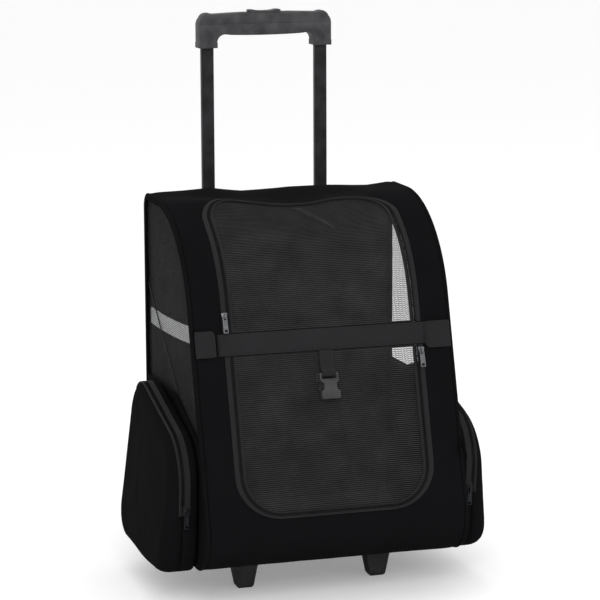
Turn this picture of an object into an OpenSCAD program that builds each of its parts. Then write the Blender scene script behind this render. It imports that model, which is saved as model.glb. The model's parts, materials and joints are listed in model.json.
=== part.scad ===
// Wheeled soft pet carrier with a telescopic trolley handle.
// X is to the right, -Y is the front, +Y the back and Z is up.
// The origin lies on the floor, under the middle of the carrier.

/* [Bag] */
// Width of the bag over its side panels
bag_w = 350; // [320:1:400]
// Depth of the bag from its front bulge to its back panel
bag_depth = 307; // [290:1:330]
// Height of the bag from its base to its flat top
bag_h = 455; // [435:1:490]
// Height of the base above the floor
ground_gap = 52; // [51:1:66]
// Radius of the crown above the front
crown_r = 165; // [145:1:175]
// Radius of the toe below the front
toe_r = 56; // [40:1:62]
// Radius of the corner between the top and the back
back_r = 20; // [12:1:26]
// Length of the flat top behind the crown
top_flat = 49; // [44:1:56]
// Thickness of the padded body fabric
fabric_t = 3; // [2.4:0.1:3.6]
// Thickness of the mesh cloth
mesh_t = 1; // [0.6:0.1:1.4]
// Width of the tape that binds the side seams
binding_w = 8; // [6:0.5:12]
// Thickness of the binding tape
binding_t = 1.2; // [0.8:0.1:1.8]
// How far mesh cloth laps behind the fabric round it
mesh_lap = 6; // [4:0.5:9]

/* [Side windows] */
// Height of a side window's lower edge above the base, at the back seam
window_back_h = 212; // [205:1:240]
// Height of the lower edge at its middle corner
window_mid_h = 217; // [212:1:240]
// Distance of the middle corner from the back panel
window_mid_y = 149; // [120:1:170]
// Height of the lower edge at its front corner
window_fore_h = 166; // [150:1:180]
// Distance of the front corner from the front bulge
window_fore_y = 37; // [30:1:60]
// Height of the lower edge at the front seam
window_front_h = 126; // [118:1:140]

/* [Doors] */
// Width of both doors
door_w = 250; // [220:1:270]
// Width of the zip tape on each side of the teeth
tape_w = 10; // [7:0.5:13]
// Thickness of the zip tape
tape_t = 1.2; // [0.8:0.1:1.6]
// Corner radius of the upper door
upper_r = 38; // [25:1:60]
// Corner radius of the lower door
lower_r = 52; // [30:1:70]
// Angle over the crown at which the upper door ends
upper_end = 108; // [100:1:118]
// Length of the lower door down the front
lower_l = 204; // [170:1:210]

/* [Strap and buckle] */
// Height of the middle of the front strap above the base
strap_h = 288; // [270:1:300]
// Width of the front strap
strap_w = 28; // [22:1:34]
// Thickness of webbing
webbing_t = 2; // [1.4:0.1:2.2]
// Length of each short strap end beside the seams
strap_end_l = 16; // [10:1:20]
// Width of the webbing tab that carries the buckle
tab_w = 18; // [16:1:22]
// Length of the webbing tab below the strap
tab_l = 30; // [22:1:40]
// Width of the side release buckle
buckle_w = 25; // [24:0.5:30]
// Length of the buckle's socket half
buckle_l = 34; // [30:1:40]
// Thickness of the buckle
buckle_t = 11; // [10:0.5:13]
// Thickness of the buckle's head round the webbing
buckle_head_t = 7; // [5:0.5:8]
// Depth of the waist on each side of the buckle
buckle_waist = 4; // [3:0.25:5]

/* [Side pockets] */
// Depth of a pocket at its lower front corner, from the side of the bag outward
pocket_d = 51; // [44:1:60]
// Thickness of the pocket cloth
pocket_t = 2.4; // [1.6:0.1:3]
// Radius of the upper front corner of a pocket
pocket_front_r = 62; // [52:1:66]
// Radius of its lower front corner
pocket_low_r = 44; // [38:1:52]
// Radius of its two rear corners
pocket_r = 46; // [36:1:50]
// How far a pocket's face draws in from its gusset
pocket_puff = 5; // [3:0.5:12]
// Height of a pocket's top above the base
pocket_top_h = 211; // [200:1:222]
// How far a pocket reaches below the base
pocket_drop = 10; // [4:1:14]
// Distance of a pocket's front edge behind the front bulge
pocket_front_gap = 38; // [24:1:48]
// Distance of a pocket's rear edge from the back panel
pocket_rear_gap = 21; // [14:1:50]
// How far a pocket's rear edge leans forward at the top
pocket_rake = 14; // [6:1:30]
// Height of the front corner's centre above the base
pocket_front_h = 115; // [108:1:122]
// Depth at which the zip parts a pocket's cover from its tray
pocket_zip_d = 20.5; // [16:0.5:28]
// How far the zip reaches down from the front corner's centre
pocket_zip_l = 42; // [20:1:50]

/* [Trolley handle] */
// Distance between the two telescopic tubes
tube_pitch = 160; // [140:2:176]
// Width of an outer tube
outer_w = 20; // [18:0.5:22]
// Depth of an outer tube
outer_d = 15; // [13:0.5:17]
// Wall of the tubes
tube_wall = 1; // [0.8:0.1:1.2]
// Clearance on each side between the tubes
tube_slack = 0.5; // [0.4:0.05:0.8]
// How far the outer tubes end below the bag's flat top
outer_below = 22; // [20:1:40]
// Length of an inner tube
inner_l = 452; // [440:1:470]
// Exposed length of the handle above the bag at rest
exposed_l = 189; // [170:1:200]
// Width of the grip
grip_w = 185; // [184:1:200]
// Depth of the grip
grip_d = 24; // [22:1:28]
// Height of the grip from its leg ends to its crown
grip_h = 47; // [44:1:54]
// Width of a grip leg
leg_w = 24; // [23:0.5:27]
// Height of the bar between the legs
bar_h = 31; // [28:1:34]
// Wall of the grip's shells
grip_wall = 2.5; // [2:0.1:3]
// How far the inner tubes reach up into the legs
tube_seat = 20; // [14:1:21]
// Length of the push button
button_l = 46; // [36:1:60]
// Travel of the push button
button_travel = 4; // [3:0.1:4.2]
// How far the button's two ends stand proud of the grip
button_rise = 2.9; // [1.5:0.1:3.2]
// Radius of the knuckle at each end of the grip
knuckle_r = 9; // [7:0.5:10]

/* [Running gear] */
// Radius of a wheel
wheel_r = 24; // [22:0.5:24.4]
// Width of a wheel
wheel_w = 22; // [18:1:26]
// Distance between the wheels' middles
wheel_pitch = 260; // [246:2:276]
// Distance of the axles behind the back panel
axle_back = 13; // [10:0.5:16]
// Diameter of the axles
axle_d = 6; // [5:0.5:7]
// Distance between the front feet
foot_pitch = 184; // [160:2:200]
// Distance of the feet behind the front bulge
foot_back = 128; // [100:1:136]
// Width of a foot where it leaves its flange
foot_w = 38; // [32:1:42]
// Width of a foot on the floor
foot_floor_w = 18; // [16:0.5:24]
// Depth of a foot
foot_d = 26; // [20:1:30]
// Length of a foot's screwed flange
foot_flange_l = 50; // [46:1:56]
// Thickness of the stiff boards
board_t = 4; // [3:0.5:5]
// Thickness of the pet mat
mat_t = 16; // [10:1:24]

/* [Hidden] */
$fn = 48;
gap = 0.3;             // clearance between soft or curved pieces
seam_gap = 0.7;        // slot between a door and the panel round it
screw_d = 4;           // shank of the base screws
screw_head_d = 8;
screw_head_t = 2;
screw_slack = 0.1;     // clearance round a screw's shank
fit_gap = 0.15;        // clearance round a tube in a moulded socket

// Bag profile in the YZ plane
front_y = -(bag_depth + axle_back + wheel_r) / 2;
back_y = front_y + bag_depth;
base_z = ground_gap;
top_z = base_z + bag_h;
side_x = bag_w / 2;
body_x = side_x - fabric_t - gap;      // half width between the side panels
crown_c = [back_y - back_r - top_flat, top_z - crown_r];
toe_c = [front_y + toe_r, base_z + toe_r];
back_c = [back_y - back_r, top_z - back_r];
arcs_v = toe_c - crown_c;
front_a = atan2(arcs_v[1], arcs_v[0]) + 360 - acos((crown_r - toe_r) / norm(arcs_v));
lean = 180 - front_a;                  // backward lean of the front panel
front_top = crown_c + crown_r * [cos(front_a), sin(front_a)];
strap_z = base_z + strap_h;

// Telescopic tubes
tube_x = tube_pitch / 2;
bracket_t = 13;                        // plastic between the panel and a tube
tube_y = back_y + bracket_t + outer_d / 2;
inner_w = outer_w - 2 * (tube_wall + tube_slack);
inner_d = outer_d - 2 * (tube_wall + tube_slack);
tube_floor = 8;                        // height of the outer tubes' foot above the base
tube_low_z = base_z + tube_floor;
tube_top_z = top_z - outer_below;
leg_z = top_z + exposed_l;
grip_top_z = leg_z + grip_h;
bar_z = grip_top_z - bar_h;
inner_top_z = leg_z + tube_seat;
inner_low_z = inner_top_z - inner_l;
parting_z = grip_top_z - bar_h / 2;
pin_z = inner_low_z + 14;
pin_ratio = 0.5;                       // pin travel for each unit of button travel
linkage_top_z = parting_z + 1.5;
cavity_z = max(inner_top_z + gap, bar_z + grip_wall);

// Running gear
axle_y = back_y + axle_back;
axle_z = wheel_r;
wheel_x = wheel_pitch / 2;
foot_x = foot_pitch / 2;
foot_y = front_y + foot_back;
foot_flange_t = 4;
foot_screw_y = foot_flange_l / 2 - 5.5;

// ---- outlines -------------------------------------------------------------

// Points of an arc from angle a0 to a1 in n steps
function arc(c, r, a0, a1, n) =
    [for (i = [0:n]) let (a = a0 + (a1 - a0) * i / n) c + r * [cos(a), sin(a)]];

function flip(points) = [for (i = [len(points) - 1:-1:0]) points[i]];

// Line from the toe up the front and over the top to the back, set in by t
function front_path(t) = concat(
    arc(toe_c, toe_r - t, 270, front_a, 14),
    arc(crown_c, crown_r - t, front_a, 90, 16),
    arc(back_c, back_r - t, 90, 0, 6));

// Side profile of the bag, set in by t
function bag_outline(t) = concat(front_path(t), [[back_y - t, base_z + t]]);

// Band of cloth between two depths t0 and t1 under the surface
function front_band(t0, t1) = concat(front_path(t0), flip(front_path(t1)));

// Rectangle with rounded corners, centred
function round_box(w, d, r) = concat(
    arc([w / 2 - r, d / 2 - r], r, 0, 90, 4),
    arc([-w / 2 + r, d / 2 - r], r, 90, 180, 4),
    arc([-w / 2 + r, -d / 2 + r], r, 180, 270, 4),
    arc([w / 2 - r, -d / 2 + r], r, 270, 360, 4));

// Doorway with a straight sill and two round upper corners
function arch(half, sill, top, r) = concat(
    [[-half, sill], [half, sill]],
    arc([half - r, top - r], r, 0, 90, 8),
    arc([-half + r, top - r], r, 90, 180, 8));

// ---- placing --------------------------------------------------------------

// Extrudes a YZ outline from x0 to x1
module along_x(x0, x1) {
    translate([x0, 0, 0])
        rotate([90, 0, 90])
            linear_extrude(x1 - x0)
                children();
}

// Extrudes an XZ outline from y0 to y1
module along_y(y0, y1) {
    translate([0, y1, 0])
        rotate([90, 0, 0])
            linear_extrude(y1 - y0)
                children();
}

function slope_y(z) = front_top[0] + (z - front_top[1]) * tan(lean);

// Local frame on the front panel: Z up the slope, -Y outward, origin at the strap
module on_front() {
    translate([0, slope_y(strap_z), strap_z])
        rotate([-lean, 0, 0])
            children();
}

// Mirrors to the left (side = -1) or keeps right (side = 1)
module to_side(side) {
    mirror([side < 0 ? 1 : 0, 0, 0])
        children();
}

// Block in the front frame, from z0 to z1 and from depth t0 to t1 under the surface
module front_block(x0, x1, z0, z1, t0, t1) {
    on_front()
        translate([x0, t0, z0])
            cube([x1 - x0, t1 - t0, z1 - z0]);
}

// ---- bag ------------------------------------------------------------------

module band(t0, t1, half) {
    along_x(-half, half)
        polygon(front_band(t0, t1));
}

door_half = door_w / 2;
crown_reach = crown_c + crown_r * [cos(upper_end), sin(upper_end)];
upper_top = (crown_reach[0] + crown_reach[1]) / sqrt(2);
upper_sill = (slope_y(strap_z) + strap_z) / sqrt(2) - 20;
prism_low = 120;
prism_high = top_z;

// Upper doorway cut through crown and front at 45 degrees; grow widens it
module upper_prism(grow, sill_gap) {
    intersection() {
        rotate([45, 0, 0])
            translate([0, 0, prism_low])
                linear_extrude(prism_high - prism_low)
                    polygon(arch(door_half + grow, upper_sill, upper_top + grow, upper_r + grow));
        front_block(-side_x, side_x, strap_w / 2 + sill_gap, bag_h, -30, bag_depth);
    }
}

// Lower doorway cut square through the front; grow widens it
module lower_prism(grow, sill_gap) {
    on_front()
        translate([0, 30, 0])
            rotate([90, 0, 0])
                linear_extrude(60)
                    mirror([0, 1])
                        polygon(arch(door_half + grow, strap_w / 2 + sill_gap,
                            strap_w / 2 + lower_l + grow, lower_r + grow));
}

module front_panel() {
    color("#151515")
        difference() {
            band(0, fabric_t, body_x);
            upper_prism(seam_gap, 0.5);
            lower_prism(seam_gap, 0.5);
        }
}

module back_panel() {
    color("#161616")
        difference() {
            translate([-body_x, back_y - fabric_t, base_z])
                cube([2 * body_x, fabric_t, back_c[1] - gap - base_z]);
            back_screws(screw_slack);
        }
}

module base_panel() {
    color("#131313")
        difference() {
            translate([-body_x, toe_c[0] + gap, base_z])
                cube([2 * body_x, back_y - fabric_t - 2 * gap - toe_c[0], fabric_t]);
            base_shanks(screw_slack);
        }
}

board_x = body_x - 4;
board_low = base_z + fabric_t + gap;
board_front = toe_c[0] + 6;
back_board_y = back_y - fabric_t - gap - board_t;

module base_board() {
    color("#2a2a2a")
        difference() {
            translate([-board_x, board_front, board_low])
                cube([2 * board_x, back_y - fabric_t - gap - board_front, board_t]);
            base_shanks(screw_slack);
        }
}

module back_board() {
    color("#2a2a2a")
        difference() {
            translate([-board_x, back_board_y, board_low + board_t])
                cube([2 * board_x, board_t, back_c[1] - board_low - board_t]);
            back_screws(screw_slack);
        }
}

module pet_mat() {
    color("#1d1d1f")
        translate([0, (board_front + back_board_y) / 2, board_low + board_t + gap])
            linear_extrude(mat_t)
                polygon(round_box(2 * board_x - 4, back_board_y - board_front - 6, 14));
}

// Lower edge of the side window, from the back seam to the front seam
window_out = 5;                        // how far the window's outline runs past the seams
window_edge = [
    [back_y, base_z + window_back_h],
    [back_y - window_mid_y, base_z + window_mid_h],
    [front_y + window_fore_y, base_z + window_fore_h],
    [front_y - window_out, base_z + window_front_h]];

// Side window: the profile set in by t, above the window's lower edge shifted by drop
module window_area(t, drop) {
    intersection() {
        polygon(bag_outline(t));
        polygon(concat(
            [for (p = window_edge) p - [0, drop]],
            [[front_y - window_out, top_z + window_out], [back_y, top_z + window_out]]));
    }
}

module side_panel(side) {
    color("#151515")
        to_side(side)
            along_x(side_x - fabric_t, side_x)
                difference() {
                    polygon(bag_outline(0));
                    window_area(binding_w, 0);
                }
}

module side_mesh(side) {
    color("#333333")
        to_side(side)
            along_x(side_x - fabric_t - gap - mesh_t, side_x - fabric_t - gap)
                window_area(fabric_t + gap, mesh_lap);
}

// Tape sewn round the edge of each side panel
module side_bindings() {
    color("#222222")
        for (side = [-1, 1])
            to_side(side)
                along_x(side_x, side_x + binding_t)
                    difference() {
                        polygon(bag_outline(0));
                        polygon(bag_outline(binding_w));
                    }
}

// Webbing sewn along the inside of the left mesh, for the pet's lead
module tether_strap() {
    tether_half = strap_w / 2;
    tether_x = -side_x + fabric_t + 2 * gap + mesh_t;
    tether_back = strap_z;
    tether_front = strap_z + 12;
    tether_y0 = slope_y(tether_front) + fabric_t + 5;
    tether_y1 = back_board_y - gap;
    color("#b4b6b4")
        along_x(tether_x, tether_x + webbing_t)
            polygon([[tether_y0, tether_front - tether_half], [tether_y1, tether_back - tether_half],
                [tether_y1, tether_back + tether_half], [tether_y0, tether_front + tether_half]]);
}

// ---- doors and zips ---------------------------------------------------------

module upper_zip_tape() {
    color("#2b2b2b")
        difference() {
            intersection() {
                band(-tape_t, 0, body_x);
                upper_prism(tape_w, 0.5);
            }
            upper_prism(seam_gap, -5);
        }
}

module lower_zip_tape() {
    color("#2b2b2b")
        difference() {
            intersection() {
                band(-tape_t, 0, body_x);
                lower_prism(tape_w, 0.5);
            }
            lower_prism(seam_gap, -5);
        }
}

rim_in = 0.6;          // part of the rim that lies below the panel's surface
hem_w = 8;             // hem of a door along the strap

module upper_door_rim() {
    color("#2b2b2b")
        difference() {
            intersection() {
                band(-tape_t, rim_in, body_x);
                upper_prism(0, 1);
            }
            upper_prism(-tape_w, hem_w);
        }
}

module upper_door_mesh() {
    color("#363636")
        intersection() {
            band(rim_in + gap, rim_in + gap + mesh_t, body_x);
            upper_prism(mesh_lap - tape_w, 2);
        }
}

module lower_door_rim() {
    color("#2b2b2b")
        difference() {
            intersection() {
                band(-tape_t, rim_in, body_x);
                lower_prism(0, 1);
            }
            lower_prism(-tape_w, hem_w);
        }
}

module lower_door_mesh() {
    color("#363636")
        intersection() {
            band(rim_in + gap, rim_in + gap + mesh_t, body_x);
            lower_prism(mesh_lap - tape_w, 2);
        }
}

// Zip slider in its own frame: Z along the zip, -Y outward, origin on the cloth
slider_w = 8;
slider_l = 11;
slider_r = 1.4;        // radius of the slider's shoulders
slider_tail_r = 2.4;   // radius of the slider's tail
slider_plate = 1.6;
slider_lift = tape_t + gap;
bridge_w = 1.8;
bridge_l = 7.5;
bridge_h = 2.6;
bridge_t = 1.2;
bridge_post = 1.5;
bridge_in = 1;         // how far the bridge's posts lean in at the top
pull_rod = 1.2;
pull_w = 7;
pull_end_w = 8;
pull_l = 25;
pull_r = 1.5;
pull_slack = 1.4;      // play of a pull's eye on each side of the bridge
pull_lift = slider_lift + slider_plate + bridge_h / 2;

// Shield with two shoulders and a narrow tail, under an arched bridge
module slider_shape() {
    plate_top = slider_lift + slider_plate;
    bridge_top = plate_top + bridge_h;
    translate([0, -slider_lift, 0])
        rotate([90, 0, 0])
            linear_extrude(slider_plate)
                hull() {
                    for (side = [-1, 1])
                        translate([side * (slider_w / 2 - slider_r), slider_l / 2 - slider_r])
                            circle(r = slider_r, $fn = 16);
                    translate([0, slider_tail_r - slider_l / 2])
                        circle(r = slider_tail_r, $fn = 16);
                }
    along_x(-bridge_w / 2, bridge_w / 2)
        difference() {
            polygon([[-plate_top, -bridge_l / 2], [-bridge_top - bridge_t, -bridge_l / 2 + bridge_in],
                [-bridge_top - bridge_t, bridge_l / 2 - bridge_in], [-plate_top, bridge_l / 2]]);
            polygon([[-plate_top, -bridge_l / 2 + bridge_post], [-bridge_top, -bridge_l / 2 + bridge_post],
                [-bridge_top, bridge_l / 2 - bridge_post], [-plate_top, bridge_l / 2 - bridge_post]]);
        }
}

// Pull tab that hangs from a slider's bridge: an eye at the top, a window at its wider end
module pull_shape() {
    eye_l = bridge_l / 2 + 1;
    eye_w = bridge_w + 2 * pull_slack;
    window_w = pull_end_w - 3.2;
    window_l = 3.6;
    window_rim = 1.8;
    translate([0, pull_rod / 2 - pull_lift, 0])
        rotate([90, 0, 0])
            linear_extrude(pull_rod)
                difference() {
                    polygon(concat(
                        arc([pull_w / 2 - pull_r, pull_rod / 2 - pull_r], pull_r, 0, 90, 3),
                        arc([pull_r - pull_w / 2, pull_rod / 2 - pull_r], pull_r, 90, 180, 3),
                        arc([pull_r - pull_end_w / 2, pull_r - pull_l], pull_r, 180, 270, 3),
                        arc([pull_end_w / 2 - pull_r, pull_r - pull_l], pull_r, 270, 360, 3)));
                    translate([-eye_w / 2, -eye_l])
                        square([eye_w, eye_l - pull_rod / 2]);
                    translate([-window_w / 2, window_rim - pull_l])
                        square([window_w, window_l]);
                }
}

// Places a slider frame on the crown's leg of the upper zip
zip_x = door_half + slider_w / 2 + 1.5;
upper_slider_rise = 36;
lower_slider_drop = 24;

module upper_slider_place() {
    on_front()
        translate([-zip_x, 0, upper_slider_rise])
            children();
}

module lower_slider_place() {
    on_front()
        translate([zip_x, 0, -lower_slider_drop])
            children();
}

module upper_zip_slider() {
    color("#8c8c8c")
        upper_slider_place()
            slider_shape();
}

module upper_zip_pull() {
    color("#969696")
        upper_slider_place()
            pull_shape();
}

module lower_zip_slider() {
    color("#8c8c8c")
        lower_slider_place()
            slider_shape();
}

module lower_zip_pull() {
    color("#969696")
        lower_slider_place()
            pull_shape();
}

// ---- strap, buckle ----------------------------------------------------------

strap_gap = 2.5;       // slot between the strap and its short ends

module front_strap() {
    end_x = body_x - strap_end_l;
    color("#2b2b2b") {
        strap_piece(strap_gap - end_x, end_x - strap_gap);
        for (side = [-1, 1])
            to_side(side)
                strap_piece(end_x, body_x);
    }
}

module strap_piece(x0, x1) {
    front_block(x0, x1, -strap_w / 2, strap_w / 2, -gap - webbing_t, -gap);
}

tab_top = -strap_w / 2 - 0.5;
buckle_top = -strap_w / 2 - tab_l;
tab_lift = tape_t + gap;
tab_t = webbing_t * 0.8;
tab_play = 0.6;        // play of the webbing on each side in a buckle's slot
buckle_lift = 2;
slot_h = 4.4;
bar_l = 3;
buckle_wall = 2;
buckle_head = 10;      // length of the buckle's head
buckle_foot = 10.5;    // length of its mouth
waist_r = buckle_waist;
buckle_slope = 5;      // length over which the head thickens

// Right side of a buckle of width w and length l that hangs down from z = 0
function buckle_side(w, l) = concat(
    arc([w / 2 - 1.5, -1.5], 1.5, 90, 0, 3),
    [[w / 2, -buckle_head], [w / 2 - buckle_waist, -buckle_head - waist_r]],
    arc([w / 2 - buckle_waist + waist_r, buckle_foot + waist_r - l], waist_r, 180, 270, 5),
    arc([w / 2 - 1, 1 - l], 1, 0, -90, 3));

// Buckle body outline in the local XZ plane
module buckle_outline(w, l) {
    side = buckle_side(w, l);
    polygon(concat(side, [for (p = flip(side)) [-p[0], p[1]]]));
}

// The buckle from the side: a thin head that thickens towards the mouth
module buckle_profile() {
    head_low = -bar_l - slot_h;
    polygon([[0, 1], [-buckle_head_t, 1], [-buckle_head_t, head_low],
        [-buckle_t, head_low - buckle_slope], [-buckle_t, -buckle_l - 1], [0, -buckle_l - 1]]);
}

module buckle_frame(lift) {
    on_front()
        translate([0, -lift, buckle_top])
            children();
}

// Socket half of the buckle: slotted head, waist with side windows and an open mouth
module buckle_socket() {
    mouth_half = buckle_w / 2 - buckle_waist - buckle_wall;
    mouth_t = buckle_t - 2 * buckle_wall;
    window_top = -buckle_head - waist_r;
    window_low = buckle_foot + waist_r - buckle_l;
    color("#505050")
        buckle_frame(buckle_lift)
            difference() {
                intersection() {
                    rotate([90, 0, 0])
                        linear_extrude(buckle_t)
                            buckle_outline(buckle_w, buckle_l);
                    along_x(-buckle_w, buckle_w)
                        buckle_profile();
                }
                translate([-tab_w / 2 - tab_play, -buckle_t - 1, -bar_l - slot_h])
                    cube([tab_w + 2 * tab_play, buckle_t + 2, slot_h]);
                translate([-mouth_half, -buckle_t + buckle_wall, -buckle_l - 1])
                    cube([2 * mouth_half, mouth_t, buckle_l + 1 - buckle_head - buckle_wall]);
                translate([-buckle_w, -buckle_t + buckle_wall, window_low])
                    cube([2 * buckle_w, mouth_t, window_top - window_low]);
            }
}

// Webbing from under the strap, looped round the buckle's bar
module buckle_tab() {
    color("#242424")
        on_front()
            translate([-tab_w / 2, 0, 0])
                rotate([90, 0, 90])
                    linear_extrude(tab_w)
                        tab_section(buckle_lift + buckle_head_t + gap);
}

// Section of the tab in the local YZ plane
module tab_section(loop_out) {
    bar_low = buckle_top - bar_l;
    inner = -tab_lift;
    outer = -tab_lift - tab_t;
    polygon([[inner, tab_top], [outer, tab_top], [outer, buckle_top + 7],
        [-loop_out - tab_t, buckle_top + 2.2], [-loop_out - tab_t, bar_low - tab_t - gap],
        [inner + 1, bar_low - tab_t - gap], [inner + 1, bar_low - gap], [-loop_out, bar_low - gap],
        [-loop_out, buckle_top + gap + 0.6], [inner, buckle_top + gap + 4.4]]);
}

// Webbing that ties the plug half of the buckle inside, behind the strap
module inner_tab() {
    color("#242424")
        front_block(-tab_w / 2, tab_w / 2, buckle_top + gap, strap_w / 2,
            fabric_t + gap, fabric_t + gap + webbing_t);
}

// Plug half: a slotted head, a guide tongue and two hooked prongs
module buckle_plug() {
    head_low = -bar_l * 2 - slot_h;
    prong_l = 17;
    tongue_w = 3.2;
    color("#505050")
        on_front()
            translate([0, fabric_t + gap + webbing_t / 2 + buckle_t / 2 - 1, buckle_top])
                rotate([90, 0, 0])
                    linear_extrude(buckle_t - 2 * buckle_wall - 0.8)
                        difference() {
                            union() {
                                translate([-buckle_w / 2, head_low])
                                    square([buckle_w, -head_low]);
                                translate([-tongue_w / 2, head_low - prong_l + 1])
                                    square([tongue_w, prong_l]);
                                for (side = [-1, 1])
                                    mirror([side < 0 ? 1 : 0, 0])
                                        translate([0, head_low])
                                            prong(prong_l);
                            }
                            translate([-tab_w / 2 - tab_play, -bar_l - slot_h])
                                square([tab_w + 2 * tab_play, slot_h]);
                        }
}

// Springy prong with its hook outward, in the plug's own plane
module prong(l) {
    root = buckle_w / 2 - 8;
    polygon([[root, 1], [root + 2.5, 1], [root + 6, 8 - l], [root + 2.9, 1 - l],
        [root + 1.3, 1 - l], [root + 3.1, 8 - l]]);
}

// ---- side pockets -----------------------------------------------------------

pocket_x = side_x + binding_t + gap;
pocket_low = base_z - pocket_drop;
pocket_front = front_y + pocket_front_gap;
pocket_back = back_y - pocket_rear_gap;
pocket_top = base_z + pocket_top_h;
pocket_set_back = 8;                   // how far the lower front corner stands behind the upper one
// Corners of a pocket from the upper front one round by the bottom: place, radius and depth
pocket_arcs = [
    [pocket_front + pocket_front_r, base_z + pocket_front_h, pocket_front_r, pocket_d * 0.67],
    [pocket_front + pocket_set_back + pocket_low_r, pocket_low + pocket_low_r, pocket_low_r, pocket_d],
    [pocket_back - pocket_r, pocket_low + pocket_r + 1, pocket_r, pocket_d * 0.88],
    [pocket_back - pocket_rake - pocket_r, pocket_top - pocket_r, pocket_r, pocket_d * 0.73]];

// Outline of a pocket, grown by g
module pocket_outline(g) {
    hull()
        for (a = pocket_arcs)
            translate([a[0], a[1]])
                circle(r = a[2] + g, $fn = 72);
}

zip_plane = pocket_zip_d;              // where the zip parts the cover from the tray
pocket_front_c = [pocket_arcs[0][0], pocket_arcs[0][1]];
pocket_front_v = pocket_front_c - [pocket_arcs[1][0], pocket_arcs[1][1]];
pocket_front_a = 90 + atan2(pocket_front_v[1], pocket_front_v[0])
    + asin((pocket_front_r - pocket_low_r) / norm(pocket_front_v));

// Depth of the straight part of the gusset at one corner
function gusset_d(arc) = max(arc[3] * 0.78, zip_plane + tape_w / 2 + 1);

// Body of a pocket, grown by g, from depth d0 to its face drawn in by inset
module pocket_body(g, d0, inset) {
    hull()
        for (a = pocket_arcs) {
            along_x(pocket_x + d0, pocket_x + gusset_d(a))
                translate([a[0], a[1]])
                    circle(r = a[2] + g, $fn = 72);
            along_x(pocket_x + gusset_d(a), pocket_x + a[3] - inset)
                translate([a[0], a[1]])
                    circle(r = a[2] + g - pocket_puff, $fn = 72);
        }
}

module pocket_shell(side) {
    to_side(side)
        difference() {
            union() {
                pocket_body(0, 0, 0);
                pocket_tape();
            }
            pocket_body(-pocket_t, pocket_t, pocket_t);
        }
}

// Raised zip tape over the front and top of the gusset
module pocket_tape() {
    along_x(pocket_x + zip_plane - tape_w, pocket_x + zip_plane + tape_w / 2)
        difference() {
            pocket_outline(tape_t);
            pocket_outline(-1);
            polygon([[pocket_front_c[0], pocket_front_c[1] - pocket_zip_l],
                [pocket_front - 10, pocket_front_c[1] - pocket_zip_l],
                [pocket_front - 10, pocket_low - 10], [pocket_back + 10, pocket_low - 10],
                [pocket_back + 10, pocket_top - 16], [pocket_arcs[3][0], pocket_top - 16]]);
        }
}

// Everything outboard of depth d0 and inboard of d1 on one side
module pocket_layer(side, d0, d1) {
    to_side(side)
        translate([pocket_x + d0, pocket_front - 20, pocket_low - 20])
            cube([d1 - d0, bag_depth + 40, bag_h]);
}

// Back and inner gusset of a pocket, sewn to the side panel
module side_pocket(side) {
    color("#181818")
        intersection() {
            pocket_shell(side);
            pocket_layer(side, -1, zip_plane - gap / 2);
        }
}

// Face and outer gusset of a pocket, which folds open when unzipped
module pocket_cover(side) {
    color("#1a1a1a")
        intersection() {
            pocket_shell(side);
            pocket_layer(side, zip_plane + gap / 2, pocket_d + 1);
        }
}

slider_below = 30;                     // slider's distance below the front corner's arc
pocket_slider_x = pocket_x + zip_plane - slider_w / 2 - 0.6;

module pocket_slider_place(side) {
    to_side(side)
        translate([pocket_slider_x, pocket_front_c[0], pocket_front_c[1]])
            rotate([pocket_front_a - 180, 0, 0])
                translate([0, -pocket_front_r, -slider_below])
                    children();
}

module pocket_slider(side) {
    color("#8c8c8c")
        pocket_slider_place(side)
            slider_shape();
}

module pocket_pull(side) {
    color("#969696")
        pocket_slider_place(side)
            pull_shape();
}

// ---- telescopic handle --------------------------------------------------------

module tube(w, d, wall, z0, z1) {
    translate([0, 0, z0])
        linear_extrude(z1 - z0)
            difference() {
                polygon(round_box(w, d, 3));
                polygon(round_box(w - 2 * wall, d - 2 * wall, 3 - wall));
            }
}

pin_d = 5;
pin_hole_d = pin_d + 0.4;

// Hole for a lock pin through the outboard wall, at height z
module pin_hole(z) {
    translate([0, 0, z])
        rotate([0, 90, 0])
            cylinder(d = pin_hole_d, h = outer_w);
}

pin_lap = 62;          // height of tube left above the lock pins at full height
stow_clear = 9;        // gap under the inner tubes at their lowest
full_rise = tube_top_z - pin_lap - pin_z;
stow_drop = inner_low_z - tube_low_z - stow_clear;

module outer_tube(side) {
    color("#2a2a2a")
        to_side(side)
            translate([tube_x, tube_y, 0])
                difference() {
                    tube(outer_w, outer_d, tube_wall, tube_low_z, tube_top_z);
                    for (stop = [-stow_drop, 0, full_rise])
                        pin_hole(pin_z + stop);
                }
}

module inner_tube(side) {
    color("#262626")
        to_side(side)
            translate([tube_x, tube_y, 0])
                difference() {
                    tube(inner_w, inner_d, tube_wall, inner_low_z, inner_top_z);
                    pin_hole(pin_z);
                    rotate([side > 0 ? 90 : -90, 0, 0])
                        translate([0, side * (leg_z + 11), 0])
                            cylinder(d = 2.8, h = outer_d);
                }
}

sleeve_half = tube_x + outer_w / 2 + 16;
sleeve_t = 2.4;
sleeve_depth = bracket_t + outer_d + 9;

// Moulded bracket that holds both outer tubes against the back
module bracket(z0, z1) {
    rib_d = 11;
    wing = outer_w / 2 + 5;
    cup_y = tube_y + outer_d / 2 + 3.5;
    difference() {
        union() {
            translate([-tube_x - wing, back_y, z0])
                cube([2 * (tube_x + wing), rib_d, z1 - z0]);
            for (side = [-1, 1])
                translate([side * tube_x, (back_y + cup_y) / 2, z0])
                    linear_extrude(z1 - z0)
                        polygon(round_box(2 * wing, cup_y - back_y, 3));
        }
        for (side = [-1, 1])
            translate([side * tube_x, tube_y, 0])
                children([0:$children - 1]);
        back_screws(screw_slack);
    }
}

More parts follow.
